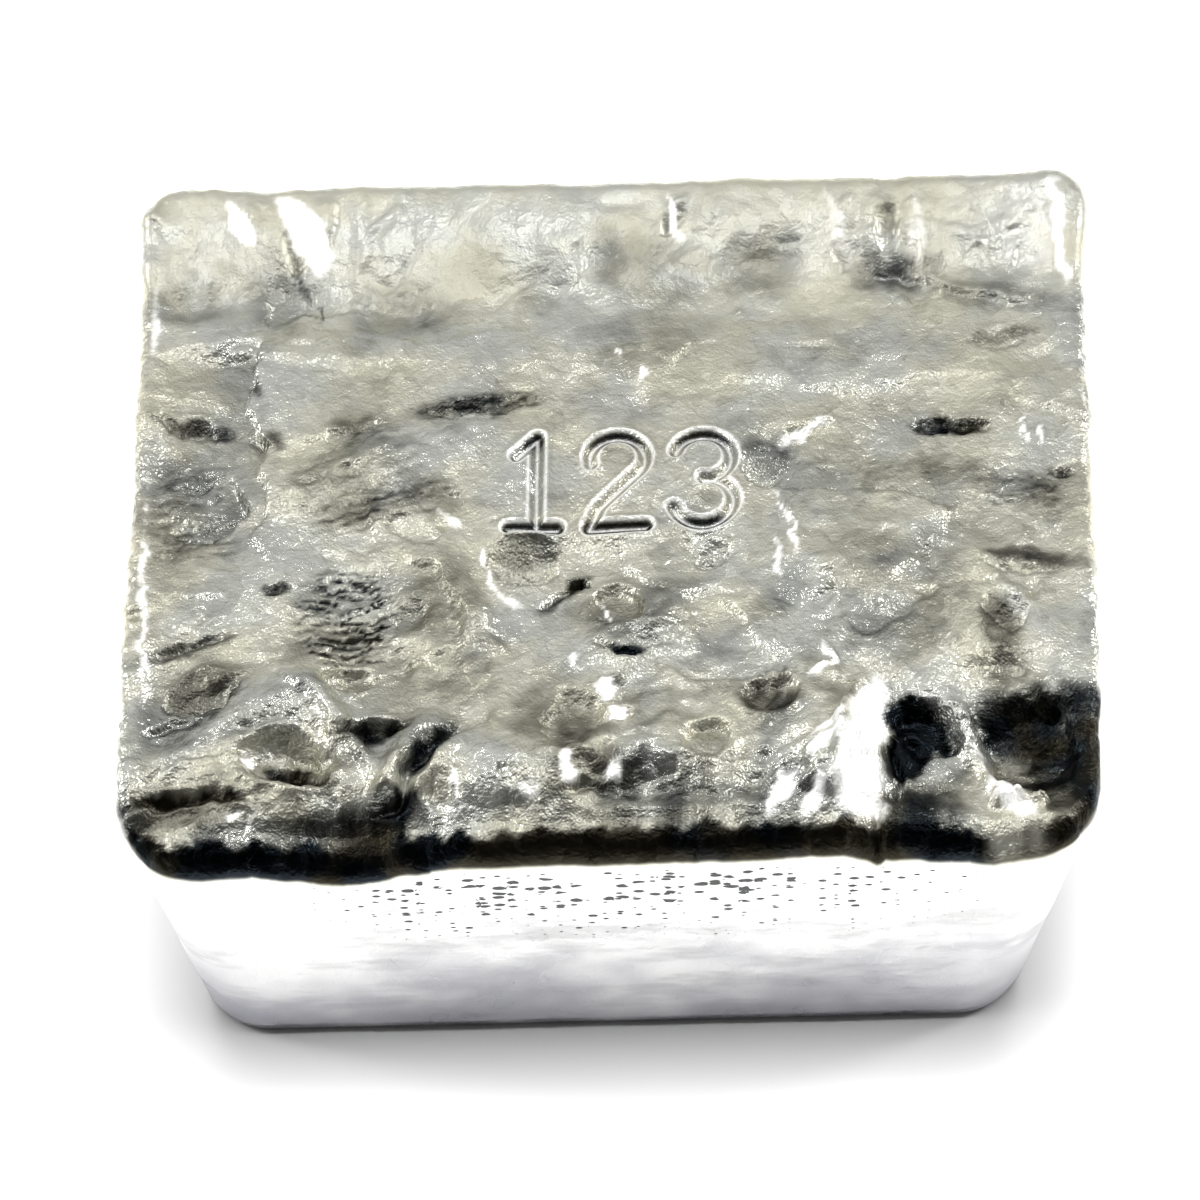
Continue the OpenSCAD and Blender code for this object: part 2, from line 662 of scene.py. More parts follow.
@dataclass(frozen=True)
class Mould:
    """Sizes of the mould's cavity and of the casting's edges, in millimetres and degrees."""

    wide: float = 62.0
    deep: float = 54.0
    high: float = 28.0
    draft: float = 10.0
    skew: float = 1.5
    front_corner: float = 4.5
    back_corner: float = 3.0
    foot_r: float = 1.6
    front_lip: float = 2.4
    side_lip: float = 1.0
    back_lip: float = 1.4

    def inset(self, z: Array) -> Array:
        """Give how far the drafted wall is set in at a height, in mm."""
        return (self.high - z) * math.tan(math.radians(self.draft))

    def outline(self, u: Array, v: Array, inset: Array) -> tuple[Array, Array, Array, Array]:
        """Place points of a unit square's rim on the cavity's rounded outline.

        Args:
            u: Places on the square, -1 to 1 across.
            v: Places on the square, -1 to 1 from front to back.
            inset: How far the wall is set in at each place.

        Returns:
            x, y, and the outward direction's x and y.
        """
        w = np.maximum(np.maximum(np.abs(u), np.abs(v)), 1e-9)
        a, b = np.abs(u) / w, np.abs(v) / w
        r = np.where(v < 0, self.front_corner, self.back_corner)
        half_x, half_y = self.wide / 2, self.deep / 2
        in_x, in_y = half_x - inset, half_y - inset
        ends = b >= a
        limit = np.where(ends, (half_x - r) / half_x, (half_y - r) / half_y)
        along = np.where(ends, a, b)
        straight = np.minimum(along / limit, 1.0)
        angle = np.clip((along - limit) / (1 - limit), 0, 1) * math.pi / 4
        nx = np.where(ends, np.sin(angle), np.cos(angle))
        ny = np.where(ends, np.cos(angle), np.sin(angle))
        x = np.where(ends, straight * (in_x - r) + r * nx, in_x - r + r * nx)
        y = np.where(ends, in_y - r + r * ny, straight * (in_y - r) + r * ny)
        sx, sy = np.where(u < 0, -1.0, 1.0), np.where(v < 0, -1.0, 1.0)
        return x * sx, y * sy, nx * sx, ny * sy

    def lip(self, ny: Array) -> Array:
        """Give the lip's radius for an outward direction's y, in mm."""
        front = (self.front_lip - self.side_lip) * np.clip(-ny, 0, 1) ** 2
        return self.side_lip + front + (self.back_lip - self.side_lip) * np.clip(ny, 0, 1) ** 2


@dataclass
class PourFace:
    """The open face of the casting: its broad shape, its frozen texture and its single features."""

    mould: Mould = field(default_factory=Mould)
    bank_rise: float = 1.6
    bank_run: float = 9.0
    front_droop: float = 1.4
    droop_run: float = 8.0
    number: Number = field(default_factory=Number)

    BROAD = (
        Swell(24.5, -20.2, 6.5, 4.5, 8, -2.2), Swell(-26.7, -23.2, 4.2, 2.6, 20, -1.0),
        Swell(-17.7, -25.1, 6.0, 2.0, 4, -1.2), Swell(-20.2, -18.6, 2.8, 1.8, -8, -1.4),
        Swell(-16.4, -7.8, 3.6, 4.4, 10, -0.9), Swell(-27.3, 0.5, 4.5, 5.5, 0, -0.8),
        Swell(-17.4, 3.2, 9.0, 2.0, 20, 0.7), Swell(-1.6, -4.6, 3.0, 2.5, 0, -0.8),
        Swell(16.4, -4.9, 7.0, 6.0, 0, 0.8), Swell(0.6, -19.7, 9.0, 3.5, 0, 0.7),
        Swell(0.0, 16.7, 26.0, 2.6, 0, -0.5),
    )

    WRINKLES = (
        Ripples(-16.4, -8.6, 3.2, 4.4, 4, 0.66, -0.5, 0.7, 35, 1.5),
        Ripples(-8.3, 8.6, 4.4, 0.9, 6, 0.5, -0.2, 0.4, 31, 0.5),
        Ripples(-16.0, 3.8, 5.4, 2.6, 24, 0.9, -0.16, 0.4, 32, 0.25),
        Ripples(-14.4, 0.5, 4.6, 1.9, 16, 0.7, -0.2, 0.4, 33, 0.5),
        Ripples(-26.6, 0.2, 3.4, 5.0, 10, 0.8, -0.2, 0.7, 34, 0.35),
        Ripples(26.0, 0.2, 3.8, 2.2, -6, 0.62, -0.16, 0.3, 36, 0.3),
        Ripples(18.4, 2.6, 7.4, 1.5, -5, 0.6, -0.08, 0.25, 37, 0.16),
        Ripples(10.0, -15.4, 2.0, 1.8, 70, 0.8, -0.3, 0.4, 45),
    )

    def broad(self, x: Array, y: Array) -> Array:
        """Give the face's broad height above the foot, the same as the solid's.

        Args:
            x: Places across the face.
            y: Places from front to back.

        Returns:
            Heights in mm.
        """
        half = self.mould.deep / 2
        z = self.mould.high - self.bank_rise + 0 * x
        z += self.bank_rise * ease(half - self.bank_run, half - self.mould.back_lip, y)
        z -= self.front_droop * ease(half - self.droop_run, half, -y)
        for swell in self.BROAD:
            z += swell.relief(x, y)
        return z

    def features(self) -> list[Feature]:
        """List the single features, from left to right in bands from back to front."""
        return [*self.back_band(), *self.middle_band(), *self.right_plate(), *self.front_band()]

    def back_band(self) -> list[Feature]:
        """List the bank along the back edge and the plateau before it."""
        return [
            Ripples(-14.0, 23.5, 17.0, 4.2, 90, 2.6, 0.22, 0.5, 11),
            Ripples(20.0, 22.8, 9.5, 5.0, 96, 2.9, 0.4, 0.4, 12),
            Leaf(-23.8, 23.6, 1.9, 0.8, 100, 0.0, -0.35, 0.0, 0.05),
            Leaf(-19.6, 22.8, 3.0, 1.5, 68, 0.22, -0.25, 0.1, 0.06),
            Leaf(-14.5, 21.5, 3.4, 2.0, 80, 0.06, 0.1, 0.03, 0.0),
            Leaf(4.0, 23.5, 1.8, 0.6, 60, 0.3, 0.3, 0.1, 0.08),
            Leaf(15.0, 22.0, 2.8, 0.9, 85, 0.12, 0.2, 0.0, 0.03),
            Leaf(19.3, 22.0, 2.6, 0.8, 92, 0.15, 0.18, 0.0, 0.03), Pit(17.7, 22.2, 0.8, 1.7, 0, 0.35, 0.04),
            Crease(((28.2, 24.5), (28.9, 21.0), (29.4, 17.6)), 0.22, -0.28),
            Rubble(26.0, 21.2, 2.8, 3.6, 0, 1.0, 0.2, 1.2, 21),
            Crease(((-1.5, 27.0), (-0.8, 26.5), (0.2, 26.6), (1.2, 26.2)), 0.16, 0.5, 0.1),
            Crease(((8.0, 27.0), (9.0, 26.6), (9.6, 26.8)), 0.15, 0.45, 0.1),
            Swell(-26.0, 17.8, 3.4, 1.4, 5, -0.45), Swell(-20.6, 17.6, 2.2, 2.6, 20, -0.55),
            Swell(-13.4, 16.8, 2.4, 1.6, 10, -0.5), Swell(-4.2, 18.4, 1.4, 1.3, 0, -0.4),
            Swell(-0.9, 20.6, 1.2, 1.8, 0, -0.45), Swell(9.2, 20.2, 2.8, 1.6, 8, -0.6),
            Swell(18.6, 19.2, 3.6, 1.2, -4, -0.7),
            Fold(((15.5, 19.6), (18.3, 19.4), (22.0, 17.6), (26.0, 16.6), (28.5, 16.8)), 0.45, 2.2, 0.25),
            Pit(28.6, 15.0, 0.45, 0.4, 0, 0.3, 0.05), Crease(((-23.2, 11.2), (-22.6, 9.9)), 0.2, 0.3),
            Crease(((1.7, 11.6), (1.8, 10.0)), 0.13, -0.22), Crease(((0.8, 13.6), (0.4, 12.4)), 0.12, -0.2),
            Leaf(24.6, 13.3, 2.4, 0.9, 12, 0.0, 0.4, 0.15, 0.07),
            Crease(((10.5, 13.2), (12.8, 12.8), (14.0, 13.6)), 0.2, 0.22, 0.05),
            Pit(8.0, 16.2, 0.35, 0.3, 0, -0.25, 0.0), Rubble(-4.6, 11.6, 2.0, 2.0, 0, 0.9, 0.22, 1.0, 22),
            Fold(((-30.0, 13.0), (-24.0, 13.6), (-17.0, 12.2), (-10.0, 12.6)), 0.3, 2.5, 0.4),
            Fold(((2.0, 9.0), (8.0, 10.2), (15.0, 9.2), (22.0, 10.4), (28.0, 9.4)), 0.25, 2.2, 0.4),
        ]

    def middle_band(self) -> list[Feature]:
        """List the left half between the bank and the figures."""
        return [
            Leaf(-26.5, 7.7, 3.2, 0.8, -16, 0.05, 0.65, 0.2, 0.08),
            Crease(((-23.4, 7.0), (-22.2, 5.8), (-21.4, 5.4)), 0.3, 0.45, 0.05),
            Leaf(-8.3, 8.6, 4.2, 0.9, 6, 0.0, 0.5, 0.15, 0.08),
            Fold(((-21.0, 5.4), (-17.0, 6.6), (-13.6, 7.8)), 0.35, 1.6, 0.15),
            Fold(((-18.2, 2.6), (-15.4, 4.2), (-13.4, 4.6)), 0.3, 1.4, 0.15),
            Leaf(-25.8, 1.2, 3.4, 3.0, 70, 0.1, 0.28, 0.3, 0.06), Pit(-21.0, -6.2, 0.8, 0.5, 10, 0.35, 0.05),
            Crease(((-29.2, -11.4), (-26.0, -10.4), (-23.0, -9.4)), 0.28, 0.5, 0.08),
            Pit(-30.0, -8.0, 0.6, 0.5, 0, 0.6, 0.1),
            Crease(((-29.8, 4.6), (-29.5, 1.0), (-29.4, -4.0), (-29.2, -9.0), (-29.0, -15.0)), 0.2, -0.35),
            Swell(-29.6, 0.0, 0.7, 3.4, 0, 0.3), *self.WRINKLES,
            Leaf(-5.4, -4.2, 2.7, 2.4, 10, 0.08, 0.3, 0.3, 0.1), Pit(-2.0, -6.0, 0.55, 0.5, 40, 0.9, 0.12),
            Crease(((-2.0, -6.0), (-3.2, -7.4), (-4.7, -8.6)), 0.18, 0.45, 0.06),
            Crease(((-10.0, -6.4), (-9.9, -9.6)), 0.13, -0.25), Pit(0.4, -8.0, 1.6, 1.9, 30, 0.5, 0.22),
            Swell(3.2, -8.6, 1.6, 2.0, -20, 0.75), Swell(0.2, -11.4, 1.8, 1.4, 10, 0.6),
            Crease(((-0.6, -11.2), (0.6, -12.0), (1.8, -12.2)), 0.22, 0.55, 0.08),
            Leaf(2.0, -10.8, 3.2, 1.2, 12, 0.1, 0.32, 0.1, 0.1), Crease(((-0.3, -7.6), (-0.6, -9.0)), 0.14, -0.3),
            Crease(((-2.2, -12.0), (-2.0, -13.4)), 0.14, -0.3), Leaf(-10.2, 0.0, 1.6, 0.9, 60, -0.3, 0.2, 0.0, 0.1),
            Fold(((-14.0, -3.4), (-11.0, -5.0), (-9.2, -8.4), (-9.6, -12.4)), 0.55, 2.2, 0.3),
            Fold(((-9.4, -4.4), (-7.6, -8.6), (-6.0, -13.0)), -0.4, 1.8, 0.25),
            Leaf(-12.4, -1.6, 2.4, 1.1, -30, 0.1, 0.35, 0.1, 0.08),
            Rubble(-11.6, -10.6, 2.6, 3.4, 0, 1.3, 0.4, 1.0, 23),
        ]

    def right_plate(self) -> list[Feature]:
        """List the plate on the right and what lies round it."""
        plate = (
            (8.0, 2.4), (10.2, 1.3), (13.6, 1.2), (17.0, 0.7), (20.2, 0.0), (21.2, -1.4), (21.3, -3.2),
            (20.8, -5.4),
        )
        return [
            Fold(plate, -0.5, 4.2, 0.1), Crease(plate[:6], 0.14, 0.2),
            Leaf(9.6, 3.2, 2.0, 1.7, 100, 0.2, -0.25, 0.1, 0.06),
            Crease(((10.6, 0.9), (11.4, -1.6), (11.8, -4.4)), 0.15, -0.38),
            Crease(((10.4, -2.6), (10.8, -5.0), (10.6, -7.0)), 0.13, -0.3),
            Leaf(12.4, 6.4, 1.8, 0.75, 24, 0.35, 0.3, 0.0, 0.08), Pit(20.6, 6.1, 1.5, 0.7, -2, 0.45, 0.06),
            Pit(22.8, 5.9, 1.4, 0.66, -2, 0.45, 0.06), Rubble(21.6, 6.0, 2.2, 0.7, -2, 0.45, 0.4, 1.0, 24),
            Crease(((26.0, 6.8), (25.9, 4.4)), 0.14, -0.3), Crease(((27.2, 6.2), (27.0, 4.2)), 0.13, -0.28),
            Pit(28.5, 2.0, 0.8, 0.5, 0, 0.55, 0.08), Leaf(25.6, -5.6, 3.0, 0.8, -10, 0.0, 0.6, 0.2, 0.08),
            Leaf(24.6, -8.8, 1.5, 2.4, 20, 0.2, 0.3, 0.2, 0.06),
            Leaf(26.0, -7.8, 1.0, 0.7, 60, -0.3, 0.3, 0.0, 0.08), Swell(27.0, -12.0, 2.2, 1.8, 0, 0.25),
            Swell(25.0, -13.6, 2.0, 1.3, 0, -0.6),
            Crease(((13.2, -11.6), (14.0, -13.0), (12.4, -14.4)), 0.16, -0.38),
            Rubble(12.6, -8.4, 2.2, 3.0, 0, 0.9, 0.26, 1.0, 25), Crease(((13.0, 2.9), (14.2, 2.6)), 0.15, 0.28),
            Crease(((16.2, 1.4), (17.6, 1.2)), 0.14, 0.26), Leaf(17.0, -6.4, 5.0, 3.6, 75, 0.06, 0.08, 0.1, 0.05),
            Swell(5.4, -4.4, 2.4, 2.0, 0, -0.5), Leaf(6.6, -4.0, 1.6, 1.2, 30, 0.2, 0.3, 0.1, 0.06),
            Fold(((6.0, -7.0), (8.6, -9.6), (9.6, -13.4)), 0.45, 2.0, 0.25),
        ]

    def front_band(self) -> list[Feature]:
        """List the broken ground along the front lip."""
        return [*self.front_left(), *self.front_middle(), *self.front_right()]

    def front_left(self) -> list[Feature]:
        """List the hill with its eye-shaped hole, the finger ridges and the petal."""
        return [
            Leaf(-25.2, -13.8, 3.0, 1.9, 24, 0.1, 0.42, 0.25, 0.08),
            Crease(((-29.6, -17.4), (-27.0, -16.4), (-24.8, -16.2)), 0.3, 0.5, 0.08),
            Swell(-21.4, -16.6, 4.6, 3.6, 24, 1.2), Swell(-18.9, -13.0, 1.7, 1.5, 60, 0.6),
            Crease(((-18.0, -13.0), (-22.0, -15.4), (-26.4, -18.6), (-30.4, -21.0)), 1.0, -0.5),
            Crease(((-19.4, -12.8), (-17.6, -15.8), (-15.8, -18.6), (-14.0, -21.0)), 0.75, -1.0),
            Pit(-20.0, -19.4, 3.2, 1.9, -10, 1.0, 0.3), Pit(-19.7, -20.0, 1.2, 1.0, -10, 0.9),
            Pit(-18.1, -20.7, 0.8, 0.55, -20, 0.6), Leaf(-22.8, -18.9, 0.8, 0.6, 70, -0.5, 0.3, 0.0, 0.12),
            Pit(-14.6, -17.4, 2.3, 0.95, 8, 1.3, 0.1), Pit(-16.4, -13.4, 2.0, 1.0, 10, 0.6, 0.05),
            Crease(((-14.8, -24.0), (-13.6, -21.0), (-11.6, -17.4), (-9.4, -16.0)), 0.8, -1.1),
            Crease(((-12.4, -24.4), (-11.4, -21.8), (-9.4, -19.0), (-7.6, -18.2)), 0.7, -0.8),
            Crease(((-13.6, -23.6), (-12.4, -21.2), (-10.6, -18.6), (-8.6, -17.2)), 0.4, 0.8),
            Crease(((-15.6, -24.4), (-13.8, -23.4), (-12.4, -22.0)), 0.5, 1.0, 0.05),
            Rubble(-11.4, -22.8, 1.7, 2.2, 0, 0.75, 0.5, 1.0, 41), Pit(-30.0, -19.4, 0.6, 0.6, 0, 0.4, 0.25),
            Leaf(-26.4, -24.4, 4.6, 3.0, 22, 0.06, 0.10, 0.35, 0.28),
            Crease(((-30.6, -22.6), (-27.6, -21.8), (-24.4, -21.6), (-21.6, -22.2)), 0.35, 0.8, 0.1),
            Pit(-17.6, -27.6, 5.6, 4.2, 2, 1.7), Swell(-26.4, -26.0, 2.6, 1.2, 20, 0.35),
        ]

    def front_middle(self) -> list[Feature]:
        """List the rubble between the finger ridges and the bright bank."""
        return [
            Swell(-6.6, -21.4, 3.0, 3.0, 0, 0.7), Crease(((-9.6, -20.0), (-9.3, -24.8)), 0.14, -0.4),
            Leaf(-4.9, -22.8, 0.9, 0.8, 90, -0.2, 0.45, 0.0, 0.1), Pit(-6.3, -21.4, 0.35, 0.3, 0, 0.5, 0.05),
            Pit(-2.2, -17.6, 2.0, 2.8, -20, 0.7, 0.1), Rubble(0.6, -21.6, 2.6, 3.6, 0, 1.3, 0.75, 1.0, 42),
            Rubble(5.0, -22.8, 2.6, 2.8, 0, 1.0, 0.6, 1.0, 43), Rubble(2.4, -16.4, 3.8, 2.6, 10, 2.1, 0.7, 1.0, 44),
            Leaf(0.2, -14.8, 1.1, 0.9, 60, 0.5, 0.3, 0.0, 0.15),
            Leaf(0.9, -16.8, 0.9, 0.7, 40, 0.4, 0.4, 0.0, 0.15),
            Leaf(-2.2, -20.2, 0.9, 0.7, 60, 0.5, 0.3, 0.0, 0.12),
            Crease(((-3.2, -22.4), (-1.0, -22.2), (0.6, -22.7)), 0.22, 0.6),
            Pit(6.0, -19.0, 1.8, 1.3, 20, 0.7, 0.1), Pit(10.0, -15.6, 2.0, 1.4, -10, 0.6, 0.1),
            Rubble(9.6, -20.8, 2.8, 3.6, 0, 1.5, 0.8, 1.0, 46),
            Leaf(10.4, -22.4, 1.9, 1.1, 70, 0.4, 0.3, 0.0, 0.15),
            Leaf(12.6, -23.2, 1.5, 1.0, 100, 0.4, -0.3, 0.0, 0.15),
        ]

    def front_right(self) -> list[Feature]:
        """List the bright bank, the basin on its right and what lies in it."""
        return [
            Swell(13.4, -20.0, 2.0, 6.0, 4, 1.5), Leaf(15.9, -21.0, 7.0, 2.2, 94, 0.10, 0.55, 0.0, 0.1),
            Ripples(13.6, -20.4, 1.3, 3.0, 0, 0.75, 0.22, 0.3, 47), Pit(19.6, -17.6, 2.8, 1.8, -18, 1.2),
            Pit(18.3, -19.6, 1.5, 1.9, 0, 0.8),
            Crease(((20.4, -15.0), (22.2, -18.0), (24.0, -21.4), (25.4, -24.0)), 0.7, -1.0),
            Pit(26.0, -18.6, 4.0, 3.4, -14, 1.1), Rubble(18.8, -24.2, 2.6, 2.4, 0, 1.1, 0.45, 1.0, 48),
            Leaf(25.0, -23.8, 2.4, 1.8, 30, 0.25, 0.4, -0.4, 0.15),
            Rubble(25.0, -23.8, 2.2, 1.8, 30, 0.9, 0.4, 1.0, 49),
            Crease(((26.6, -15.6), (29.4, -20.4)), 0.14, -0.3), Crease(((27.6, -15.6), (30.2, -19.8)), 0.14, -0.3),
            Crease(((25.6, -15.8), (28.6, -21.0)), 0.14, -0.25),
        ]

    def shade_and_tarnish_patches(self) -> list[Paint]:
        """List the patches of tarnish and painted shade, and the patches kept clear of them, from back to front."""
        # Painted shade and tarnish, placed patch by patch; negative strengths clear it.
        back = [
            Patch(-27.0, 17.8, 3.2, 1.8, 5, 0.16), Patch(-21.7, 18.0, 2.1, 3.4, 12, 0.18),
            Patch(-13.6, 17.0, 4.4, 2.4, 0, 0.16), Patch(-4.8, 18.2, 1.4, 1.7, 0, 0.15),
            Patch(-0.5, 20.6, 1.2, 2.5, 0, 0.18), Patch(2.6, 19.6, 3.8, 3.0, 0, 0.13),
            Patch(9.3, 19.6, 3.2, 2.4, 0, 0.2), Patch(18.0, 19.3, 3.4, 1.4, -3, 0.3),
            Patch(25.0, 17.0, 5.4, 1.2, -10, 0.2), Patch(17.8, 23.0, 0.5, 1.7, 0, 0.2),
            Patch(2.0, 13.4, 3.0, 3.6, -60, 0.14), Patch(-18.0, 22.4, 5.5, 3.2, 0, -0.2),
            Patch(-22.9, 10.6, 0.5, 0.9, 25, 0.5), Patch(25.0, 13.6, 2.4, 0.6, 14, 0.35),
            Streak(((-21.3, 21.0), (-18.9, 17.6), (-18.8, 15.4)), 0.14, 0.45),
            Streak(((-2.2, 27.2), (-0.9, 26.6), (0.6, 26.9), (1.6, 26.3)), 0.16, 0.9),
            Streak(((7.6, 27.2), (9.2, 26.8)), 0.14, 0.9),
        ]
        middle = [
            Patch(-26.5, 7.6, 3.3, 0.8, -16, 0.6), Patch(-21.5, 6.0, 1.1, 0.7, -30, 0.5),
            Patch(-8.3, 8.6, 4.6, 0.9, 6, 0.42), Patch(-15.6, 7.0, 2.6, 1.0, 10, 0.3),
            Patch(-16.6, 4.0, 4.4, 1.8, 20, 0.18), Patch(-27.0, 0.5, 3.4, 5.4, 0, 0.2),
            Patch(-14.1, 0.4, 3.8, 1.6, 12, 0.3), Patch(-21.0, -6.1, 0.9, 0.6, 10, 0.6),
            Patch(-26.0, -10.5, 3.4, 0.6, 15, 0.5), Patch(-16.4, -8.6, 3.6, 4.4, 0, 0.12),
            Patch(-10.4, -7.0, 3.0, 3.8, 0, 0.2), Patch(-9.0, -13.6, 3.0, 2.2, 0, 0.2),
            Patch(-2.0, -5.9, 0.9, 0.6, 40, 0.9), Patch(-3.4, -7.6, 1.8, 0.4, 40, 0.5),
            Patch(1.0, -11.8, 1.3, 0.45, -8, 0.8), Patch(-5.6, -3.4, 2.6, 1.7, 0, 0.24),
            Patch(1.4, -8.4, 3.4, 3.6, 0, 0.18), Patch(9.8, 4.0, 1.9, 2.2, 0, 0.3),
            Patch(20.4, 6.2, 1.5, 0.62, -4, 0.62), Patch(22.6, 5.9, 1.7, 0.62, 2, 0.7),
            Patch(18.5, 2.6, 5.6, 1.4, -4, 0.24), Patch(28.4, 2.0, 0.9, 0.6, 0, 0.6),
            Patch(26.0, 0.6, 3.0, 1.6, -8, 0.25), Patch(26.4, -4.9, 3.2, 0.8, -8, 0.55),
            Patch(24.5, -10.4, 1.3, 2.4, 10, 0.42), Patch(24.7, -13.4, 2.2, 1.2, 0, 0.4),
            Patch(17.6, -7.5, 5.0, 4.6, 30, 0.16),
        ]
        front = [
            Patch(-25.2, -13.8, 3.2, 2.0, 24, 0.34), Patch(-26.0, -16.5, 3.0, 0.4, 20, 0.45),
            Patch(-19.6, -20.0, 1.5, 1.1, -10, 1.0), Patch(-18.0, -20.9, 0.9, 0.6, -20, 0.8),
            Patch(-14.6, -17.5, 2.5, 1.1, 8, 0.8), Patch(-11.0, -19.0, 2.4, 0.7, 50, 0.66),
            Patch(-13.4, -23.4, 2.0, 1.0, 42, 0.85), Patch(-26.6, -23.6, 3.8, 1.8, 12, 0.3),
            Patch(-26.6, -25.8, 2.6, 2.4, 22, -0.75),
            Streak(((-30.2, -22.6), (-27.6, -21.8), (-24.4, -21.6), (-21.8, -22.2)), 0.32, 0.9),
            Patch(-17.8, -24.9, 5.6, 2.2, 3, 0.62), Patch(0.4, -21.8, 2.0, 2.6, 0, 0.42),
            Patch(5.0, -23.0, 2.4, 1.8, 0, 0.3), Patch(-1.8, -18.4, 1.5, 2.2, -20, 0.3),
            Patch(10.0, -16.0, 2.2, 1.6, -10, 0.5), Patch(9.0, -21.6, 2.2, 2.2, 0, 0.3),
            Patch(19.5, -17.4, 2.8, 1.6, -18, 1.3), Patch(18.3, -19.4, 1.4, 1.7, 0, 1.1),
            Patch(26.8, -17.2, 4.4, 2.6, -4, 0.9), Patch(28.0, -21.4, 3.0, 3.4, 0, 0.7),
            Patch(19.4, -24.6, 3.2, 2.8, 0, 0.62), Patch(30.0, -22.4, 1.6, 5.2, 0, 0.8),
            Patch(24.8, -22.8, 2.3, 1.7, -50, -1.2),
            Streak(((20.2, -15.2), (22.4, -18.6), (24.6, -22.4)), 0.55, -0.8),
        ]
        return [*back, *middle, *front, *self.WRINKLES]

    def highlight_patches(self) -> list[Paint]:
        """List the painted highlights on facets and edges, from back to front."""
        back = [
            Patch(-24.3, 23.5, 1.9, 0.6, -65, 1.2), Patch(-20.0, 22.8, 3.3, 1.1, -58, 1.3),
            Patch(14.5, 22.5, 2.6, 0.6, -73, 0.35), Patch(19.6, 22.2, 0.6, 2.6, 0, 0.35),
            Patch(3.9, 23.3, 0.3, 1.8, 12, 0.9), Patch(27.0, 22.0, 2.2, 3.8, 0, 0.22),
            Streak(((28.4, 26.0), (28.9, 21.6), (29.2, 17.4)), 0.3, 0.9),
            Streak(((-8.0, 27.2), (8.0, 27.0), (28.0, 27.0)), 0.6, 0.5),
            Streak(((-29.4, 19.4), (-29.6, 15.0), (-29.7, 12.0)), 0.3, 0.6),
        ]
        middle = [
            Patch(12.2, 5.9, 1.9, 0.42, 35, 0.8), Patch(1.8, 10.8, 0.2, 0.9, 0, 0.9),
            Patch(0.4, 12.8, 0.2, 0.7, 20, 0.8), Patch(26.2, 5.6, 0.2, 1.4, 0, 0.9),
            Patch(27.3, 5.1, 0.2, 1.0, 0, 0.8), Streak(((10.4, 1.0), (11.2, -1.8), (11.6, -5.0)), 0.14, 0.9),
            Streak(((10.4, -2.6), (10.7, -7.0)), 0.16, 0.7),
            Streak(((13.2, -11.4), (14.0, -13.2), (12.2, -14.6)), 0.2, 0.9), Patch(-10.3, -0.8, 0.4, 1.2, 35, 0.6),
            Streak(((-8.0, -3.0), (-7.8, -6.0), (-5.4, -8.6)), 0.2, 0.7), Patch(-0.3, -8.2, 0.2, 0.8, 10, 0.8),
            Patch(-2.1, -12.5, 0.25, 0.9, 0, 0.9), Patch(26.8, -11.6, 1.3, 2.2, 0, 0.16),
            Patch(25.5, -9.0, 0.5, 0.8, 40, 0.35),
            Streak(((-29.7, 5.0), (-29.4, -2.0), (-29.1, -9.0), (-28.9, -15.0)), 0.22, 0.7),
        ]
        front = [
            Patch(-0.2, -14.9, 0.7, 1.0, 0, 1.2), Patch(0.6, -16.9, 0.6, 0.7, 0, 1.1),
            Patch(-2.5, -21.0, 0.6, 0.8, 0, 1.1), Patch(0.4, -21.3, 0.5, 0.6, 0, 1.1),
            Patch(10.6, -22.8, 0.6, 1.9, -30, 1.0), Patch(12.6, -23.4, 0.6, 1.3, -20, 0.9),
            Patch(15.3, -22.2, 1.7, 3.4, 0, 1.3), Patch(16.0, -17.2, 1.1, 3.2, -10, 1.2),
            Patch(13.6, -18.6, 1.5, 0.4, 40, 0.8), Patch(13.2, -20.0, 1.7, 0.4, 40, 0.9),
            Patch(-22.4, -19.0, 0.6, 0.6, 0, 1.2), Patch(-23.0, -23.2, 0.6, 0.3, 0, 0.9),
            Streak(((-22.0, -23.4), (-23.6, -25.8), (-26.0, -27.4)), 0.22, 1.0),
            Patch(25.4, -23.4, 1.8, 0.9, -50, 0.8), Patch(24.0, -22.0, 1.2, 0.7, -50, 0.6),
            Streak(((20.2, -15.2), (22.4, -18.6), (24.6, -22.4)), 0.4, 0.3), Patch(-4.8, -22.6, 0.5, 0.9, 0, 0.45),
            Streak(((-9.6, -20.2), (-9.3, -24.6)), 0.16, 0.7), Streak(((-30.2, -19.0), (-29.4, -18.6)), 0.3, 0.9),
        ]
        return [*back, *middle, *front]

    def mottle(self, x: Array, y: Array) -> Array:
        """Give the thin uneven tarnish over the whole face, heavier towards the front.

        Args:
            x: Places across the face.
            y: Places from front to back.

        Returns:
            The strength of the tarnish.
        """
        front, back = ease(-6.0, -20.0, y), ease(8.0, 18.0, y)
        bend = 1.6 * Noise(113).layers(x / 5.0, y / 5.0, 2)
        tx, ty = turned(x + bend, y + bend, 0.0, 0.0, 14.0)
        cloud = Noise(114).layers(tx / 5.2, ty / 3.4, 5, 0.62)
        return 0.04 * front + (0.22 + 0.14 * front - 0.13 * back) * cloud

    def painted(self, paints: list[Paint], x: Array, y: Array, seed: int) -> Array:
        """Add up painted patches, with wavering edges and a mottled inside.

        Args:
            paints: What is painted.
            x: Places across the face.
            y: Places from front to back.
            seed: Seed of the wavering.

        Returns:
            The strength of the paint.
        """
        wx, wy = Noise(seed).warp(x, y, 0.55, 1.6, 60, 3, 0.6)
        total = np.zeros_like(x)
        for paint in paints:
            total += paint.cover(wx, wy)
        mottle = Noise(seed + 1).layers(x / 1.6, y / 1.6, 4, 0.65)
        return total * (1 + 0.45 * mottle)

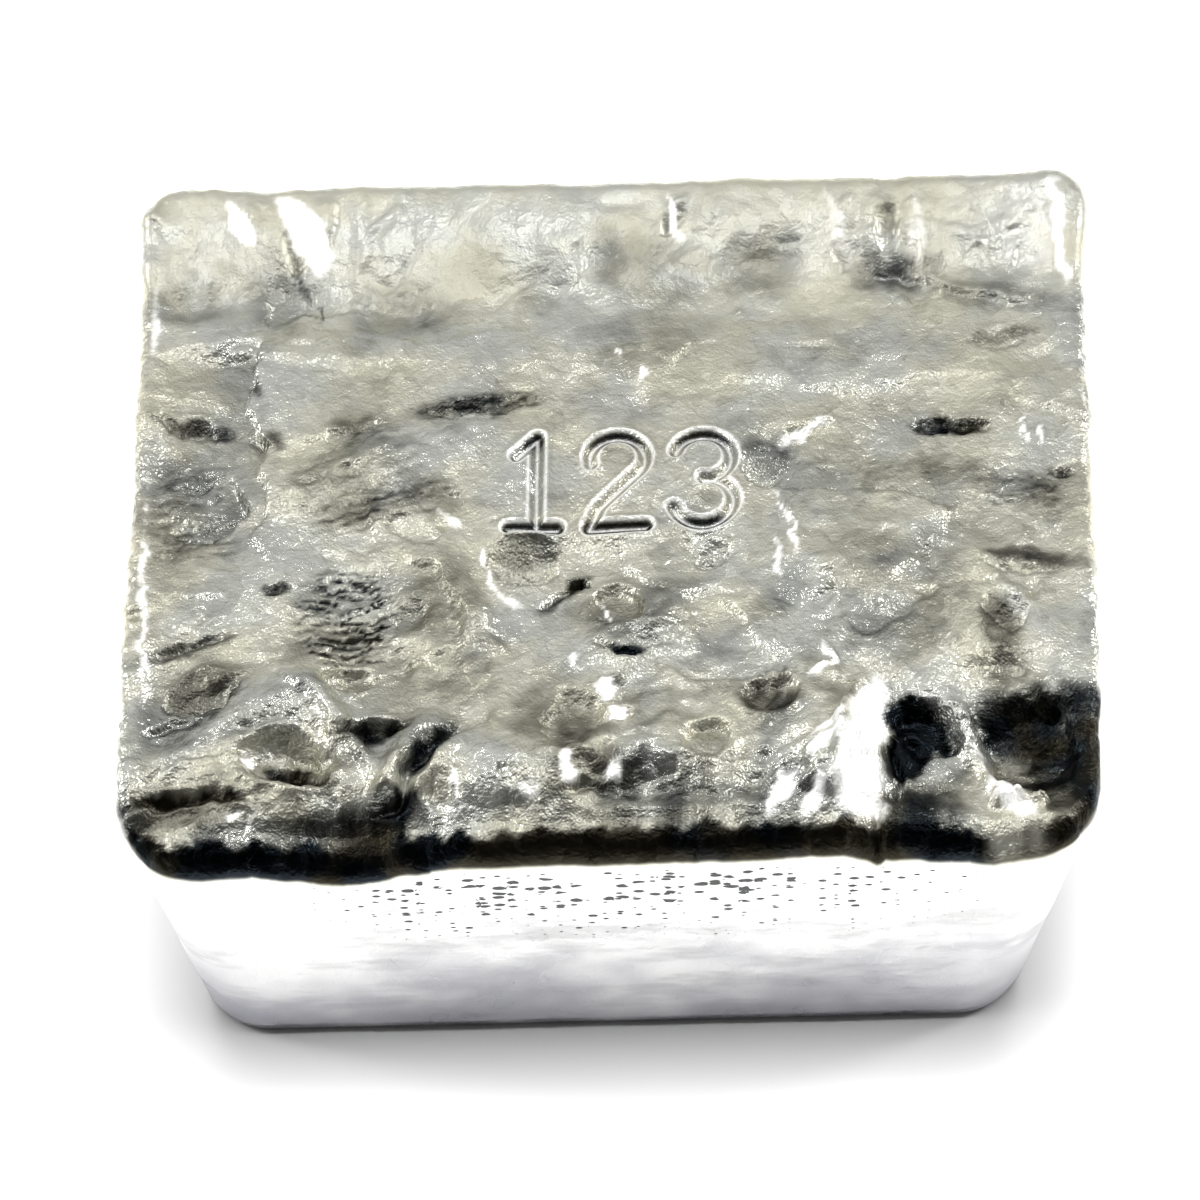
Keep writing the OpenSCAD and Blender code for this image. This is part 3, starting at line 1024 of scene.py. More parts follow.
    def texture(self, x: Array, y: Array) -> Array:
        """Give the frozen texture that covers the whole face: scoops of three sizes, ridges and grain.

        Args:
            x: Places across the face.
            y: Places from front to back.

        Returns:
            Heights in millimetres, positive outwards.
        """
        front = ease(-6.0, -20.0, y)
        back = ease(16.0, 24.0, y)
        wx, wy = Noise(101).warp(x, y, 2.6, 8.0, 50, 3)
        tx, ty = turned(wx, wy, 0.0, 0.0, 24.0)
        large = Cells(7).scoops(wx / 7.5, wy / 7.5, 0.42)
        medium = Cells(8).scoops(tx / 3.4 + 5, ty / 3.2, 0.5)
        small = Cells(9).scoops(wx / 1.4, wy / 1.4 + 3, 0.55)
        ridge = 1 - 2 * np.abs(Noise(102).layers(tx / 3.6, ty / 3.0, 3, 0.55))
        calm = 0.55 + 1.1 * Noise(103).layers(x / 9.0, y / 9.0, 2)
        calm = np.clip(calm + 0.3 * front - 0.45 * back, 0.1, 1.2)
        rough = 0.04 * Noise(104).layers(wx / 0.9, wy / 0.8, 3, 0.6)
        z = (0.55 + 0.5 * front - 0.35 * back) * (large - 0.4) + 0.34 * calm * (medium - 0.4)
        z += (0.06 + 0.08 * front) * calm * (small - 0.4)
        z += 0.12 * calm * (ridge - 0.6)
        return z + rough * (0.6 + front - 0.35 * back)

    def fine(self, x: Array, y: Array) -> Array:
        """Give all relief finer than the solid's: texture, single features and figures.

        Args:
            x: Places across the face.
            y: Places from front to back.

        Returns:
            Heights in millimetres, positive outwards.
        """
        flat = 1 - 0.85 * self.number.flatten(x, y)
        z = self.texture(x, y) * flat
        bx, by = Noise(107).warp(x, y, 0.5, 1.9, 80, 3)
        for feature in self.features():
            z += feature.relief(bx, by)
        return z + self.number.relief(x, y)


@dataclass
class Ingot:
    """The casting: it builds the block, sculpts it, paints it and dresses it.

    row_crowding draws the wall's rows together under the lip; rim_hold is the share of the face's radius
    from which the face's fine relief gives way to the rim's.
    """

    mould: Mould = field(default_factory=Mould)
    face: PourFace = field(default_factory=PourFace)
    across: int = 132
    along: int = 114
    lip_rows: int = 5
    fine_wall_rows: int = 2
    wall_rows: int = 12
    foot_rows: int = 2
    row_crowding: float = 1.25
    rim_hold: float = 0.955
    name: str = "ingot_casting"

    @property
    def rows(self) -> int:
        """Give the rows of faces from the pour face's rim down to the foot."""
        return self.lip_rows + self.fine_wall_rows + self.wall_rows + self.foot_rows

    def build(self) -> bpy.types.Object:
        """Make the casting's mesh in its place.

        Returns:
            The finished, undressed object.
        """
        bm = self.block()
        mesh = bpy.data.meshes.new(self.name)
        bm.to_mesh(mesh)
        bm.free()
        self.sculpt(mesh)
        obj = bpy.data.objects.new(self.name, mesh)
        bpy.context.scene.collection.objects.link(obj)
        return obj

    def block(self) -> bmesh.types.BMesh:
        """Make the casting's topology: a unit pour face, with rows of wall below it, closed by a foot.

        Returns:
            A mesh whose x and y lie on the unit square and whose -z counts rows.
        """
        bm = bmesh.new()
        bmesh.ops.create_grid(bm, x_segments=self.across, y_segments=self.along, size=1.0)
        rim = [e for e in bm.edges if e.is_boundary]
        for _ in range(self.rows):
            made = bmesh.ops.extrude_edge_only(bm, edges=rim)["geom"]
            verts = [g for g in made if isinstance(g, bmesh.types.BMVert)]
            new = set(verts)
            rim = [g for g in made if isinstance(g, bmesh.types.BMEdge) and set(g.verts) <= new]
            bmesh.ops.translate(bm, verts=verts, vec=(0, 0, -1))
        foot = bmesh.ops.contextual_create(bm, geom=rim)["faces"]
        bmesh.ops.poke(bm, faces=foot)
        fine_depth = -(self.lip_rows + self.fine_wall_rows) - 0.1
        self.refine(bm, lambda p: p.z > fine_depth)
        low_x, high_x, low_y, high_y = self.face.number.box()
        half_x, half_y = self.mould.wide / 2, self.mould.deep / 2
        self.refine(
            bm,
            lambda p: p.z > -0.1 and low_x < p.x * half_x < high_x and low_y < p.y * half_y < high_y,
        )
        bmesh.ops.triangulate(bm, faces=[f for f in bm.faces if len(f.verts) > 4])
        bmesh.ops.recalc_face_normals(bm, faces=bm.faces[:])
        return bm

    @staticmethod
    def refine(bm: bmesh.types.BMesh, wanted: Callable[[Vector], bool]) -> None:
        """Split the wanted part of the mesh once more.

        Args:
            bm: Mesh to refine.
            wanted: Tells whether a vertex position is in the part.
        """
        edges = [e for e in bm.edges if all(wanted(v.co) for v in e.verts)]
        bmesh.ops.subdivide_edges(bm, edges=edges, cuts=1, use_grid_fill=True)

    def sculpt(self, mesh: bpy.types.Mesh) -> None:
        """Move every vertex from the unit block to its place on the casting.

        Args:
            mesh: The unit block's mesh.
        """
        raw = np.empty(len(mesh.vertices) * 3)
        mesh.vertices.foreach_get("co", raw)
        u, v, level = raw.reshape(-1, 3).T
        level = -level
        mould, face = self.mould, self.face
        w = np.maximum(np.abs(u), np.abs(v))
        mouth_x, mouth_y, nx, ny = mould.outline(u, v, np.zeros_like(u))
        lip = mould.lip(ny)
        rim_x, rim_y = mouth_x - nx * lip, mouth_y - ny * lip
        fine_rim = 0.5 * face.fine(rim_x, rim_y) + self.rim_relief(rim_x, rim_y)
        top = face.broad(rim_x, rim_y) + fine_rim - lip
        wall_x, wall_y, _, _ = mould.outline(u, v, mould.inset(top))
        face_x, face_y = (wall_x - nx * lip) * w, (wall_y - ny * lip) * w

        on_face = level < FLUSH
        x, y = face_x.copy(), face_y.copy()
        z = np.zeros_like(u)
        fx, fy = x[on_face], y[on_face]
        fine = face.fine(fx, fy)
        edge_hold = ease(self.rim_hold, 1.0, w[on_face])
        fine = fine * (1 - edge_hold) + fine_rim[on_face] * edge_hold
        z[on_face] = face.broad(fx, fy) + fine
        relief = np.zeros_like(u)
        relief[on_face] = fine

        bend = ~on_face & (level <= self.lip_rows)
        angle = math.pi / 2 * (1 - level[bend] / self.lip_rows)
        x[bend] = wall_x[bend] - nx[bend] * lip[bend] * (1 - np.cos(angle))
        y[bend] = wall_y[bend] - ny[bend] * lip[bend] * (1 - np.cos(angle))
        z[bend] = top[bend] + lip[bend] * np.sin(angle)

        first = self.lip_rows
        last = self.rows - self.foot_rows
        wall = (level > first) & (level <= last)
        down = (level[wall] - first) / (last - first)
        z[wall] = top[wall] + (mould.foot_r - top[wall]) * down**self.row_crowding
        x[wall], y[wall], _, _ = mould.outline(u[wall], v[wall], mould.inset(z[wall]))

        foot = level > last
        angle = math.pi / 2 * (level[foot] - last) / self.foot_rows
        base = mould.inset(np.full(angle.shape, mould.foot_r))
        bx, by, bnx, bny = mould.outline(u[foot], v[foot], base)
        x[foot] = bx - bnx * mould.foot_r * (1 - np.cos(angle))
        y[foot] = by - bny * mould.foot_r * (1 - np.cos(angle))
        z[foot] = mould.foot_r * (1 - np.sin(angle))
        middle = foot & (w < 0.5)
        x[middle], y[middle] = 0.0, 0.0

        push = self.wall_relief(u, v, w, level, z) * ~on_face
        x += nx * push
        y += ny * push
        relief += push
        x += y * math.tan(math.radians(mould.skew))
        self.settle(mesh, x, y, z)
        self.paint(mesh, "relief", relief)
        # Painted tarnish and shade, stored for the finish to read.
        self.paint(mesh, "tarnish_and_shade", self.tarnish_and_shade(face_x, face_y, ny, w, level, on_face))
        # Painted highlights on facets, edges and the figures' strokes, fading down the lip.
        painted_highlight = face.painted(face.highlight_patches(), face_x, face_y, 111)
        painted_highlight = np.clip(np.maximum(painted_highlight, face.number.painted_highlight(face_x, face_y)), 0, 1)
        self.paint(mesh, "painted_highlight", painted_highlight * ease(1.2, 0.0, level))
        self.paint(mesh, "wall", level / self.rows)
        mesh.shade_smooth()

    @staticmethod
    def paint(mesh: bpy.types.Mesh, key: str, values: Array) -> None:
        """Store one value per vertex under a name that the finish reads.

        Args:
            mesh: Mesh to paint.
            key: Name of the attribute.
            values: Its value at every vertex.
        """
        layer = mesh.attributes.new(key, "FLOAT", "POINT")
        layer.data.foreach_set("value", values.astype(np.float32))

    def tarnish_and_shade(self, x: Array, y: Array, ny: Array, w: Array, level: Array, on_face: Array) -> Array:
        """Give the tarnish and painted shade: mottled, in patches, painted shade in the figures and a ragged band of
        painted dark reflection round the front lip.

        Args:
            x: Places across the face.
            y: Places from front to back.
            ny: Outward direction's part towards the back.
            w: Share of the face's radius, 1 on the rim and the walls.
            level: Row, counted down from the rim.
            on_face: Whether a place is on the pour face.

        Returns:
            The share of tarnish and painted shade, 0 to 1.
        """
        face = self.face
        fade = ease(self.lip_rows, self.lip_rows - 2, level)
        scallop = 1.3 * Noise(109).layers(x / 1.7, y / 1.7, 2)
        # Painted dark reflection: a ragged near-black band along the front lip.
        front = np.clip(-ny * 1.3, 0, 1) ** 3
        band = front * ease(1.3, 2.1, level + scallop) * ease(4.95, 4.3, level) * (w > 0.97)
        patches = (face.painted(face.shade_and_tarnish_patches(), x, y, 105) + face.mottle(x, y)) * fade
        return np.maximum(np.clip(patches + 1.1 * band, 0, 1), face.number.tarnish_and_shade(x, y) * on_face)

    def rim_relief(self, x: Array, y: Array) -> Array:
        """Give the fine waviness of the rim, with beads on its left and a nub at its back right.

        Args:
            x: Places on the rim, across.
            y: Places on the rim, front to back.

        Returns:
            Heights in millimetres.
        """
        soft = 0.22 * Noise(61).layers(x / 5.0, y / 5.0, 2)
        left = ease(-24.0, -29.0, x)
        beads = Noise(62).layers(x / 1.7, y / 1.7, 3, 0.6)
        nub = Swell(28.6, 26.2, 1.0, 1.4, 0, 0.4).relief(x, y)
        return soft + (0.08 + 0.2 * left) * beads + nub

    def wall_relief(self, u: Array, v: Array, w: Array, level: Array, z: Array) -> Array:
        """Give how far the lip and the walls stand out from the mould's true planes.

        Args:
            u: Place on the unit square, across.
            v: Place on the unit square, front to back.
            w: 1 on the walls.
            level: Row, counted down from the rim.
            z: Height above the foot.

        Returns:
            Outward push in millimetres.
        """
        around = np.where(np.abs(v) >= np.abs(u), u * 31 + 200 * np.sign(v), v * 27 + 90 * np.sign(u))
        lip_zone = np.sin(np.pi * np.clip(level / (self.lip_rows + 3), 0, 1))
        scallops = 0.14 * Noise(63).layers(around / 3.0, z / 2.5, 3, 0.5) * lip_zone
        waves = 0.10 * Noise(64).layers(around / 9.0, z / 5.0, 2)
        settled = ease(0.0, 2.5, z)
        return (scallops + waves) * settled * (w > 0.5)

    def settle(self, mesh: bpy.types.Mesh, x: Array, y: Array, z: Array) -> None:
        """Bring the sculpted casting into the solid's own box, in metres.

        Args:
            mesh: Mesh to write.
            x: Sculpted places, mm.
            y: Sculpted places, mm.
            z: Sculpted places, mm.
        """
        low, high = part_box("ingot")
        place = []
        for k, values in enumerate((x, y, z)):
            share = (values - values.min()) / (values.max() - values.min())
            place.append(low[k] + share * (high[k] - low[k]))
        mesh.vertices.foreach_set("co", np.stack(place, 1).ravel())
        mesh.update()

    def dress(self, obj: bpy.types.Object) -> None:
        """Give the casting its finish and tell the frame what it is.

        Args:
            obj: The casting.
        """
        obj.data.materials.append(CastMetal().material())
        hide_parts("ingot")
        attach(obj, "root")


# ---------------------------------------------------------------- finish


def new_group(name: str, inputs: dict[str, float], outputs: tuple[str, ...]) -> Tree:
    """Start a shader node group.

    Args:
        name: Group name.
        inputs: Float input names and their defaults, after a Vector input.
        outputs: Float output names.

    Returns:
        The group, with its own input and output nodes named In and Out.
    """
    group = bpy.data.node_groups.new(name, "ShaderNodeTree")
    group.interface.new_socket("Vector", in_out="INPUT", socket_type="NodeSocketVector")
    for key, value in inputs.items():
        socket = group.interface.new_socket(key, in_out="INPUT", socket_type="NodeSocketFloat")
        socket.default_value = value
    for key in outputs:
        group.interface.new_socket(key, in_out="OUTPUT", socket_type="NodeSocketFloat")
    group.nodes.new("NodeGroupInput").name = "In"
    group.nodes.new("NodeGroupOutput").name = "Out"
    return group


def noise_node(tree: Tree, scale: float, detail: float, rough: float, place: Socket) -> bpy.types.Node:
    """Add a noise texture.

    Args:
        tree: Tree to add the node to.
        scale: Waves per metre.
        detail: Finer layers.
        rough: Strength of each finer layer.
        place: Coordinates it reads.

    Returns:
        The node.
    """
    node = tree.nodes.new("ShaderNodeTexNoise")
    for key, value in (("Scale", scale), ("Detail", detail), ("Roughness", rough)):
        node.inputs[key].default_value = value
    tree.links.new(place, node.inputs["Vector"])
    return node


def cells_node(tree: Tree, scale: float, place: Socket) -> bpy.types.Node:
    """Add flat cells.

    Args:
        tree: Tree to add the node to.
        scale: Cells per metre.
        place: Coordinates they read.

    Returns:
        The node.
    """
    node = tree.nodes.new("ShaderNodeTexVoronoi")
    node.voronoi_dimensions = "2D"
    node.inputs["Scale"].default_value = scale
    tree.links.new(place, node.inputs["Vector"])
    return node


def map_node(
    tree: Tree, source: Socket, low: float, high: float, to_low: float = 0.0, to_high: float = 1.0
) -> Socket:
    """Map a value from one range to another, held at its ends.

    Args:
        tree: Tree to add the node to.
        source: Value to map.
        low: Start of the range it comes from.
        high: End of that range.
        to_low: What low becomes.
        to_high: What high becomes.

    Returns:
        The mapped value.
    """
    node = tree.nodes.new("ShaderNodeMapRange")
    tree.links.new(source, node.inputs["Value"])
    for key, value in zip(("From Min", "From Max", "To Min", "To Max"), (low, high, to_low, to_high)):
        node.inputs[key].default_value = value
    return node.outputs["Result"]


def math_node(tree: Tree, operation: str, *values: Socket | float) -> Socket:
    """Join values, from the first to the last, by one operation.

    Args:
        tree: Tree to add the nodes to.
        operation: Name of the operation.
        values: Two or more values.

    Returns:
        The result.
    """
    result = values[0]
    for value in values[1:]:
        node = tree.nodes.new("ShaderNodeMath")
        node.operation = operation
        for socket, part in zip(node.inputs, (result, value)):
            if isinstance(part, float):
                socket.default_value = part
            else:
                tree.links.new(part, socket)
        result = node.outputs[0]
    return result


def mix_node(tree: Tree, share: Socket, a: Socket | Colour, b: Socket | Colour) -> Socket:
    """Mix two colours.

    Args:
        tree: Tree to add the node to.
        share: Share of the second colour.
        a: First colour.
        b: Second colour.

    Returns:
        The mixed colour.
    """
    node = tree.nodes.new("ShaderNodeMix")
    node.data_type = "RGBA"
    tree.links.new(share, node.inputs["Factor"])
    for key, value in (("A", a), ("B", b)):
        socket = next(s for s in node.inputs if s.name == key and s.type == "RGBA")
        if isinstance(value, tuple):
            socket.default_value = (*value, 1.0)
        else:
            tree.links.new(value, socket)
    return next(s for s in node.outputs if s.type == "RGBA")


def vector_node(tree: Tree, operation: str, a: Socket, b: Socket | tuple | Vector | float) -> Socket:
    """Join two vectors, or scale one.

    Args:
        tree: Tree to add the node to.
        operation: Name of the operation.
        a: First vector.
        b: Second vector, or the factor of a scaling.

    Returns:
        The resulting vector, or the value of a dot product.
    """
    node = tree.nodes.new("ShaderNodeVectorMath")
    node.operation = operation
    tree.links.new(a, node.inputs[0])
    if isinstance(b, float):
        node.inputs["Scale"].default_value = b
    elif isinstance(b, (tuple, Vector)):
        node.inputs[1].default_value = b
    else:
        tree.links.new(b, node.inputs[1])
    return node.outputs["Value" if operation == "DOT_PRODUCT" else "Vector"]


def attribute_node(tree: Tree, name: str) -> Socket:
    """Read one of the casting's own attributes.

    Args:
        tree: Tree to add the node to.
        name: Attribute name.

    Returns:
        The attribute's value.
    """
    node = tree.nodes.new("ShaderNodeAttribute")
    node.attribute_name = name
    return node.outputs["Fac"]


@dataclass(frozen=True)
class CastMetal:
    """Bright white metal as cast: clean on the crests, with tarnish and painted shade in the hollows, painted
    highlights on facets and edges, painted shade at the foot of the walls and in the pits on the walls.
    """

    clean: Colour = (0.67, 0.67, 0.585)
    warm: Colour = (0.67, 0.65, 0.53)
    cool: Colour = (0.60, 0.61, 0.565)
    # Colour of the painted highlights.
    highlight_white: Colour = (0.97, 0.97, 0.95)
    # Near-black colours of the painted tarnish and shade.
    tarnish_shade_black: Colour = (0.012, 0.016, 0.02)
    earth_shade_brown: Colour = (0.03, 0.027, 0.018)
    # Painted shade at the walls' foot.
    wall_foot_shade: Colour = (0.46, 0.46, 0.51)
    wall_high: Colour = (0.90, 0.90, 0.895)
    wall_cloud: Colour = (0.50, 0.49, 0.49)
    wall_far: Colour = (0.56, 0.56, 0.57)
    # Painted shade inside the blow holes.
    pit_shade: Colour = (0.06, 0.065, 0.06)
    roughness: float = 0.3
    name: str = "cast_white_metal"

    def skin(self) -> Tree:
        """Build the group of the frozen skin: crystals that each lean their own way, and grain.

        Returns:
            The group, which gives a height in millimetres and a mask of broad patches.
        """
        group = new_group(
            "frozen_skin",
            {"Large Tilt": 0.24, "Small Tilt": 0.18, "Grain": 0.15},
            ("Height", "Patches"),
        )
        start, end = group.nodes["In"], group.nodes["Out"]
        place = start.outputs["Vector"]
        wobble = noise_node(group, 500.0, 1.0, 0.6, place)
        push = vector_node(group, "SUBTRACT", wobble.outputs["Color"], (0.5, 0.5, 0.5))
        moved = vector_node(group, "ADD", place, vector_node(group, "SCALE", push, 0.0022))
        grain = noise_node(group, 1700.0, 2.0, 0.8, place)
        total = math_node(group, "MULTIPLY", grain.outputs[0], start.outputs["Grain"])
        for scale, tilt in ((380.0, "Large Tilt"), (1100.0, "Small Tilt")):
            cells = cells_node(group, scale, moved)
            offset = vector_node(group, "SUBTRACT", moved, cells.outputs["Position"])
            lean = vector_node(group, "SUBTRACT", cells.outputs["Color"], (0.5, 0.5, 0.5))
            lean = vector_node(group, "MULTIPLY", lean, (1.0, 1.0, 0.0))
            rise = vector_node(group, "DOT_PRODUCT", offset, lean)
            total = math_node(group, "ADD", total, math_node(group, "MULTIPLY", rise, MM_PER_M, start.outputs[tilt]))
        group.links.new(total, end.inputs["Height"])
        patches = noise_node(group, 150.0, 2.0, 0.6, place)
        group.links.new(patches.outputs[0], end.inputs["Patches"])
        return group

    def pits(self) -> Tree:
        """Build the group of small flattened blow holes.

        Returns:
            The group, which gives 1 inside a hole.
        """
        group = new_group("pits", {"Share": 0.5, "Ragged": 0.0}, ("Mask",))
        start, end = group.nodes["In"], group.nodes["Out"]
        axes = group.nodes.new("ShaderNodeSeparateXYZ")
        group.links.new(start.outputs["Vector"], axes.inputs[0])
        front = group.nodes.new("ShaderNodeCombineXYZ")
        group.links.new(axes.outputs["X"], front.inputs["X"])
        group.links.new(math_node(group, "MULTIPLY", axes.outputs["Z"], 1.9), front.inputs["Y"])
        cells = cells_node(group, 1050.0, front.outputs[0])
        split = group.nodes.new("ShaderNodeSeparateColor")
        group.links.new(cells.outputs["Color"], split.inputs[0])
        size = math_node(group, "SUBTRACT", split.outputs[0], 0.5)
        size = math_node(group, "ADD", size, start.outputs["Ragged"])
        reach = math_node(group, "MULTIPLY", size, start.outputs["Share"])
        inside = math_node(group, "SUBTRACT", reach, cells.outputs["Distance"])
        group.links.new(map_node(group, inside, 0.0, 0.06), end.inputs["Mask"])
        return group

    def material(self) -> bpy.types.Material:
        """Build the material.

        Returns:
            The finish, reading Object coordinates and the casting's own attributes.
        """
        mat = bpy.data.materials.new(self.name)
        mat.use_nodes = True
        tree = mat.node_tree
        shader = tree.nodes["Principled BSDF"]
        place = tree.nodes.new("ShaderNodeTexCoord").outputs["Object"]
        skin = self.use(tree, self.skin(), place)
        holes = self.use(tree, self.pits(), place)
        tree.links.new(skin.outputs["Height"], holes.inputs["Ragged"])
        keys = ("relief", "tarnish_and_shade", "painted_highlight", "wall")
        relief, tarnish_and_shade, painted_highlight, wall = (attribute_node(tree, key) for key in keys)
        on_wall = map_node(tree, wall, 0.225, 0.275)

        patches = skin.outputs["Patches"]
        tone = mix_node(tree, map_node(tree, patches, 0.45, 0.62), self.clean, self.warm)
        tone = mix_node(tree, map_node(tree, patches, 0.50, 0.34), tone, self.cool)
        # Painted shade in the hollows, darker where the relief is deeper, joined with the painted tarnish and shade;
        # together they turn the tone towards near-black and slightly less metal.
        deep = map_node(tree, relief, -0.4, -1.8, 0.0, 0.4)
        shade_and_dirt = mix_node(tree, map_node(tree, patches, 0.46, 0.56), self.tarnish_shade_black, self.earth_shade_brown)
        bare_share = math_node(tree, "SUBTRACT", 1.0, math_node(tree, "MAXIMUM", deep, tarnish_and_shade))
        shade_and_dirt_share = math_node(tree, "SUBTRACT", 1.0, math_node(tree, "POWER", bare_share, 2.2))
        tone = mix_node(tree, shade_and_dirt_share, tone, shade_and_dirt)

        split = tree.nodes.new("ShaderNodeSeparateXYZ")
        tree.links.new(place, split.inputs[0])
        x, y, z = split.outputs
        ragged = math_node(tree, "MULTIPLY", math_node(tree, "SUBTRACT", patches, 0.5), 0.02)
        # Painted shade: the walls darken towards their foot, in place of the shadowed floor they mirror there.
        low = map_node(tree, math_node(tree, "ADD", z, ragged), 0.000, 0.0115, 1.0, 0.0)
        streaks = noise_node(tree, 95.0, 3.0, 0.7, vector_node(tree, "MULTIPLY", place, (1.0, 1.0, 3.2)))
        clouded = map_node(tree, streaks.outputs[0], 0.5, 0.66, 0.0, 0.6)
        side = mix_node(tree, clouded, self.wall_high, self.wall_cloud)
        side = mix_node(tree, map_node(tree, y, -0.0235, -0.019, 0.0, 0.8), side, self.wall_far)
        side = mix_node(tree, low, side, self.wall_foot_shade)
        band = math_node(
            tree,
            "MULTIPLY",
            map_node(tree, z, 0.0115, 0.0175),
            map_node(tree, z, 0.0205, 0.0222, 1.0, 0.0),
            map_node(tree, x, -0.022, -0.010),
            map_node(tree, x, 0.010, 0.026, 1.0, 0.0),
            map_node(tree, y, -0.0215, -0.0225),
        )
        tree.links.new(band, holes.inputs["Share"])
        # Painted shade: the blow holes are coloured near-black.
        side = mix_node(tree, holes.outputs["Mask"], side, self.pit_shade)
        # Painted highlights: near-white colour, with less metal, on the highlighted facets and edges.
        tone = mix_node(tree, painted_highlight, tone, self.highlight_white)
        tree.links.new(mix_node(tree, on_wall, tone, side), shader.inputs["Base Color"])
        dull = map_node(tree, shade_and_dirt_share, 0.0, 1.0, 0.88, 1.0)
        metallic = math_node(tree, "MINIMUM", dull, map_node(tree, painted_highlight, 0.0, 1.0, 1.0, 0.2))
        tree.links.new(metallic, shader.inputs["Metallic"])

        gloss = map_node(tree, patches, 0.35, 0.65, self.roughness - 0.05, self.roughness + 0.12)
        gloss = math_node(tree, "ADD", gloss, map_node(tree, y, 0.013, 0.020, 0.0, 0.1))
        tree.links.new(gloss, shader.inputs["Roughness"])
        lying = map_node(tree, wall, 0.10, 0.24, 1.0, 0.25)
        lying = math_node(tree, "MULTIPLY", lying, map_node(tree, y, 0.013, 0.020, 1.0, 0.5))
        total = math_node(tree, "MULTIPLY", skin.outputs["Height"], lying)
        total = math_node(tree, "SUBTRACT", total, math_node(tree, "MULTIPLY", holes.outputs["Mask"], 0.1))
        bump = tree.nodes.new("ShaderNodeBump")
        bump.inputs["Strength"].default_value = 1.0
        bump.inputs["Distance"].default_value = 0.001
        tree.links.new(total, bump.inputs["Height"])
        tree.links.new(bump.outputs["Normal"], shader.inputs["Normal"])
        return mat

    @staticmethod
    def use(tree: Tree, group: Tree, place: Socket) -> bpy.types.Node:
        """Add a group to a material.

        Args:
            tree: The material's tree.
            group: Group to add.
            place: Coordinates it reads.

        Returns:
            The group's node.
        """
        node = tree.nodes.new("ShaderNodeGroup")
        node.node_tree = group
        tree.links.new(place, node.inputs["Vector"])
        return node


# ---------------------------------------------------------------- studio


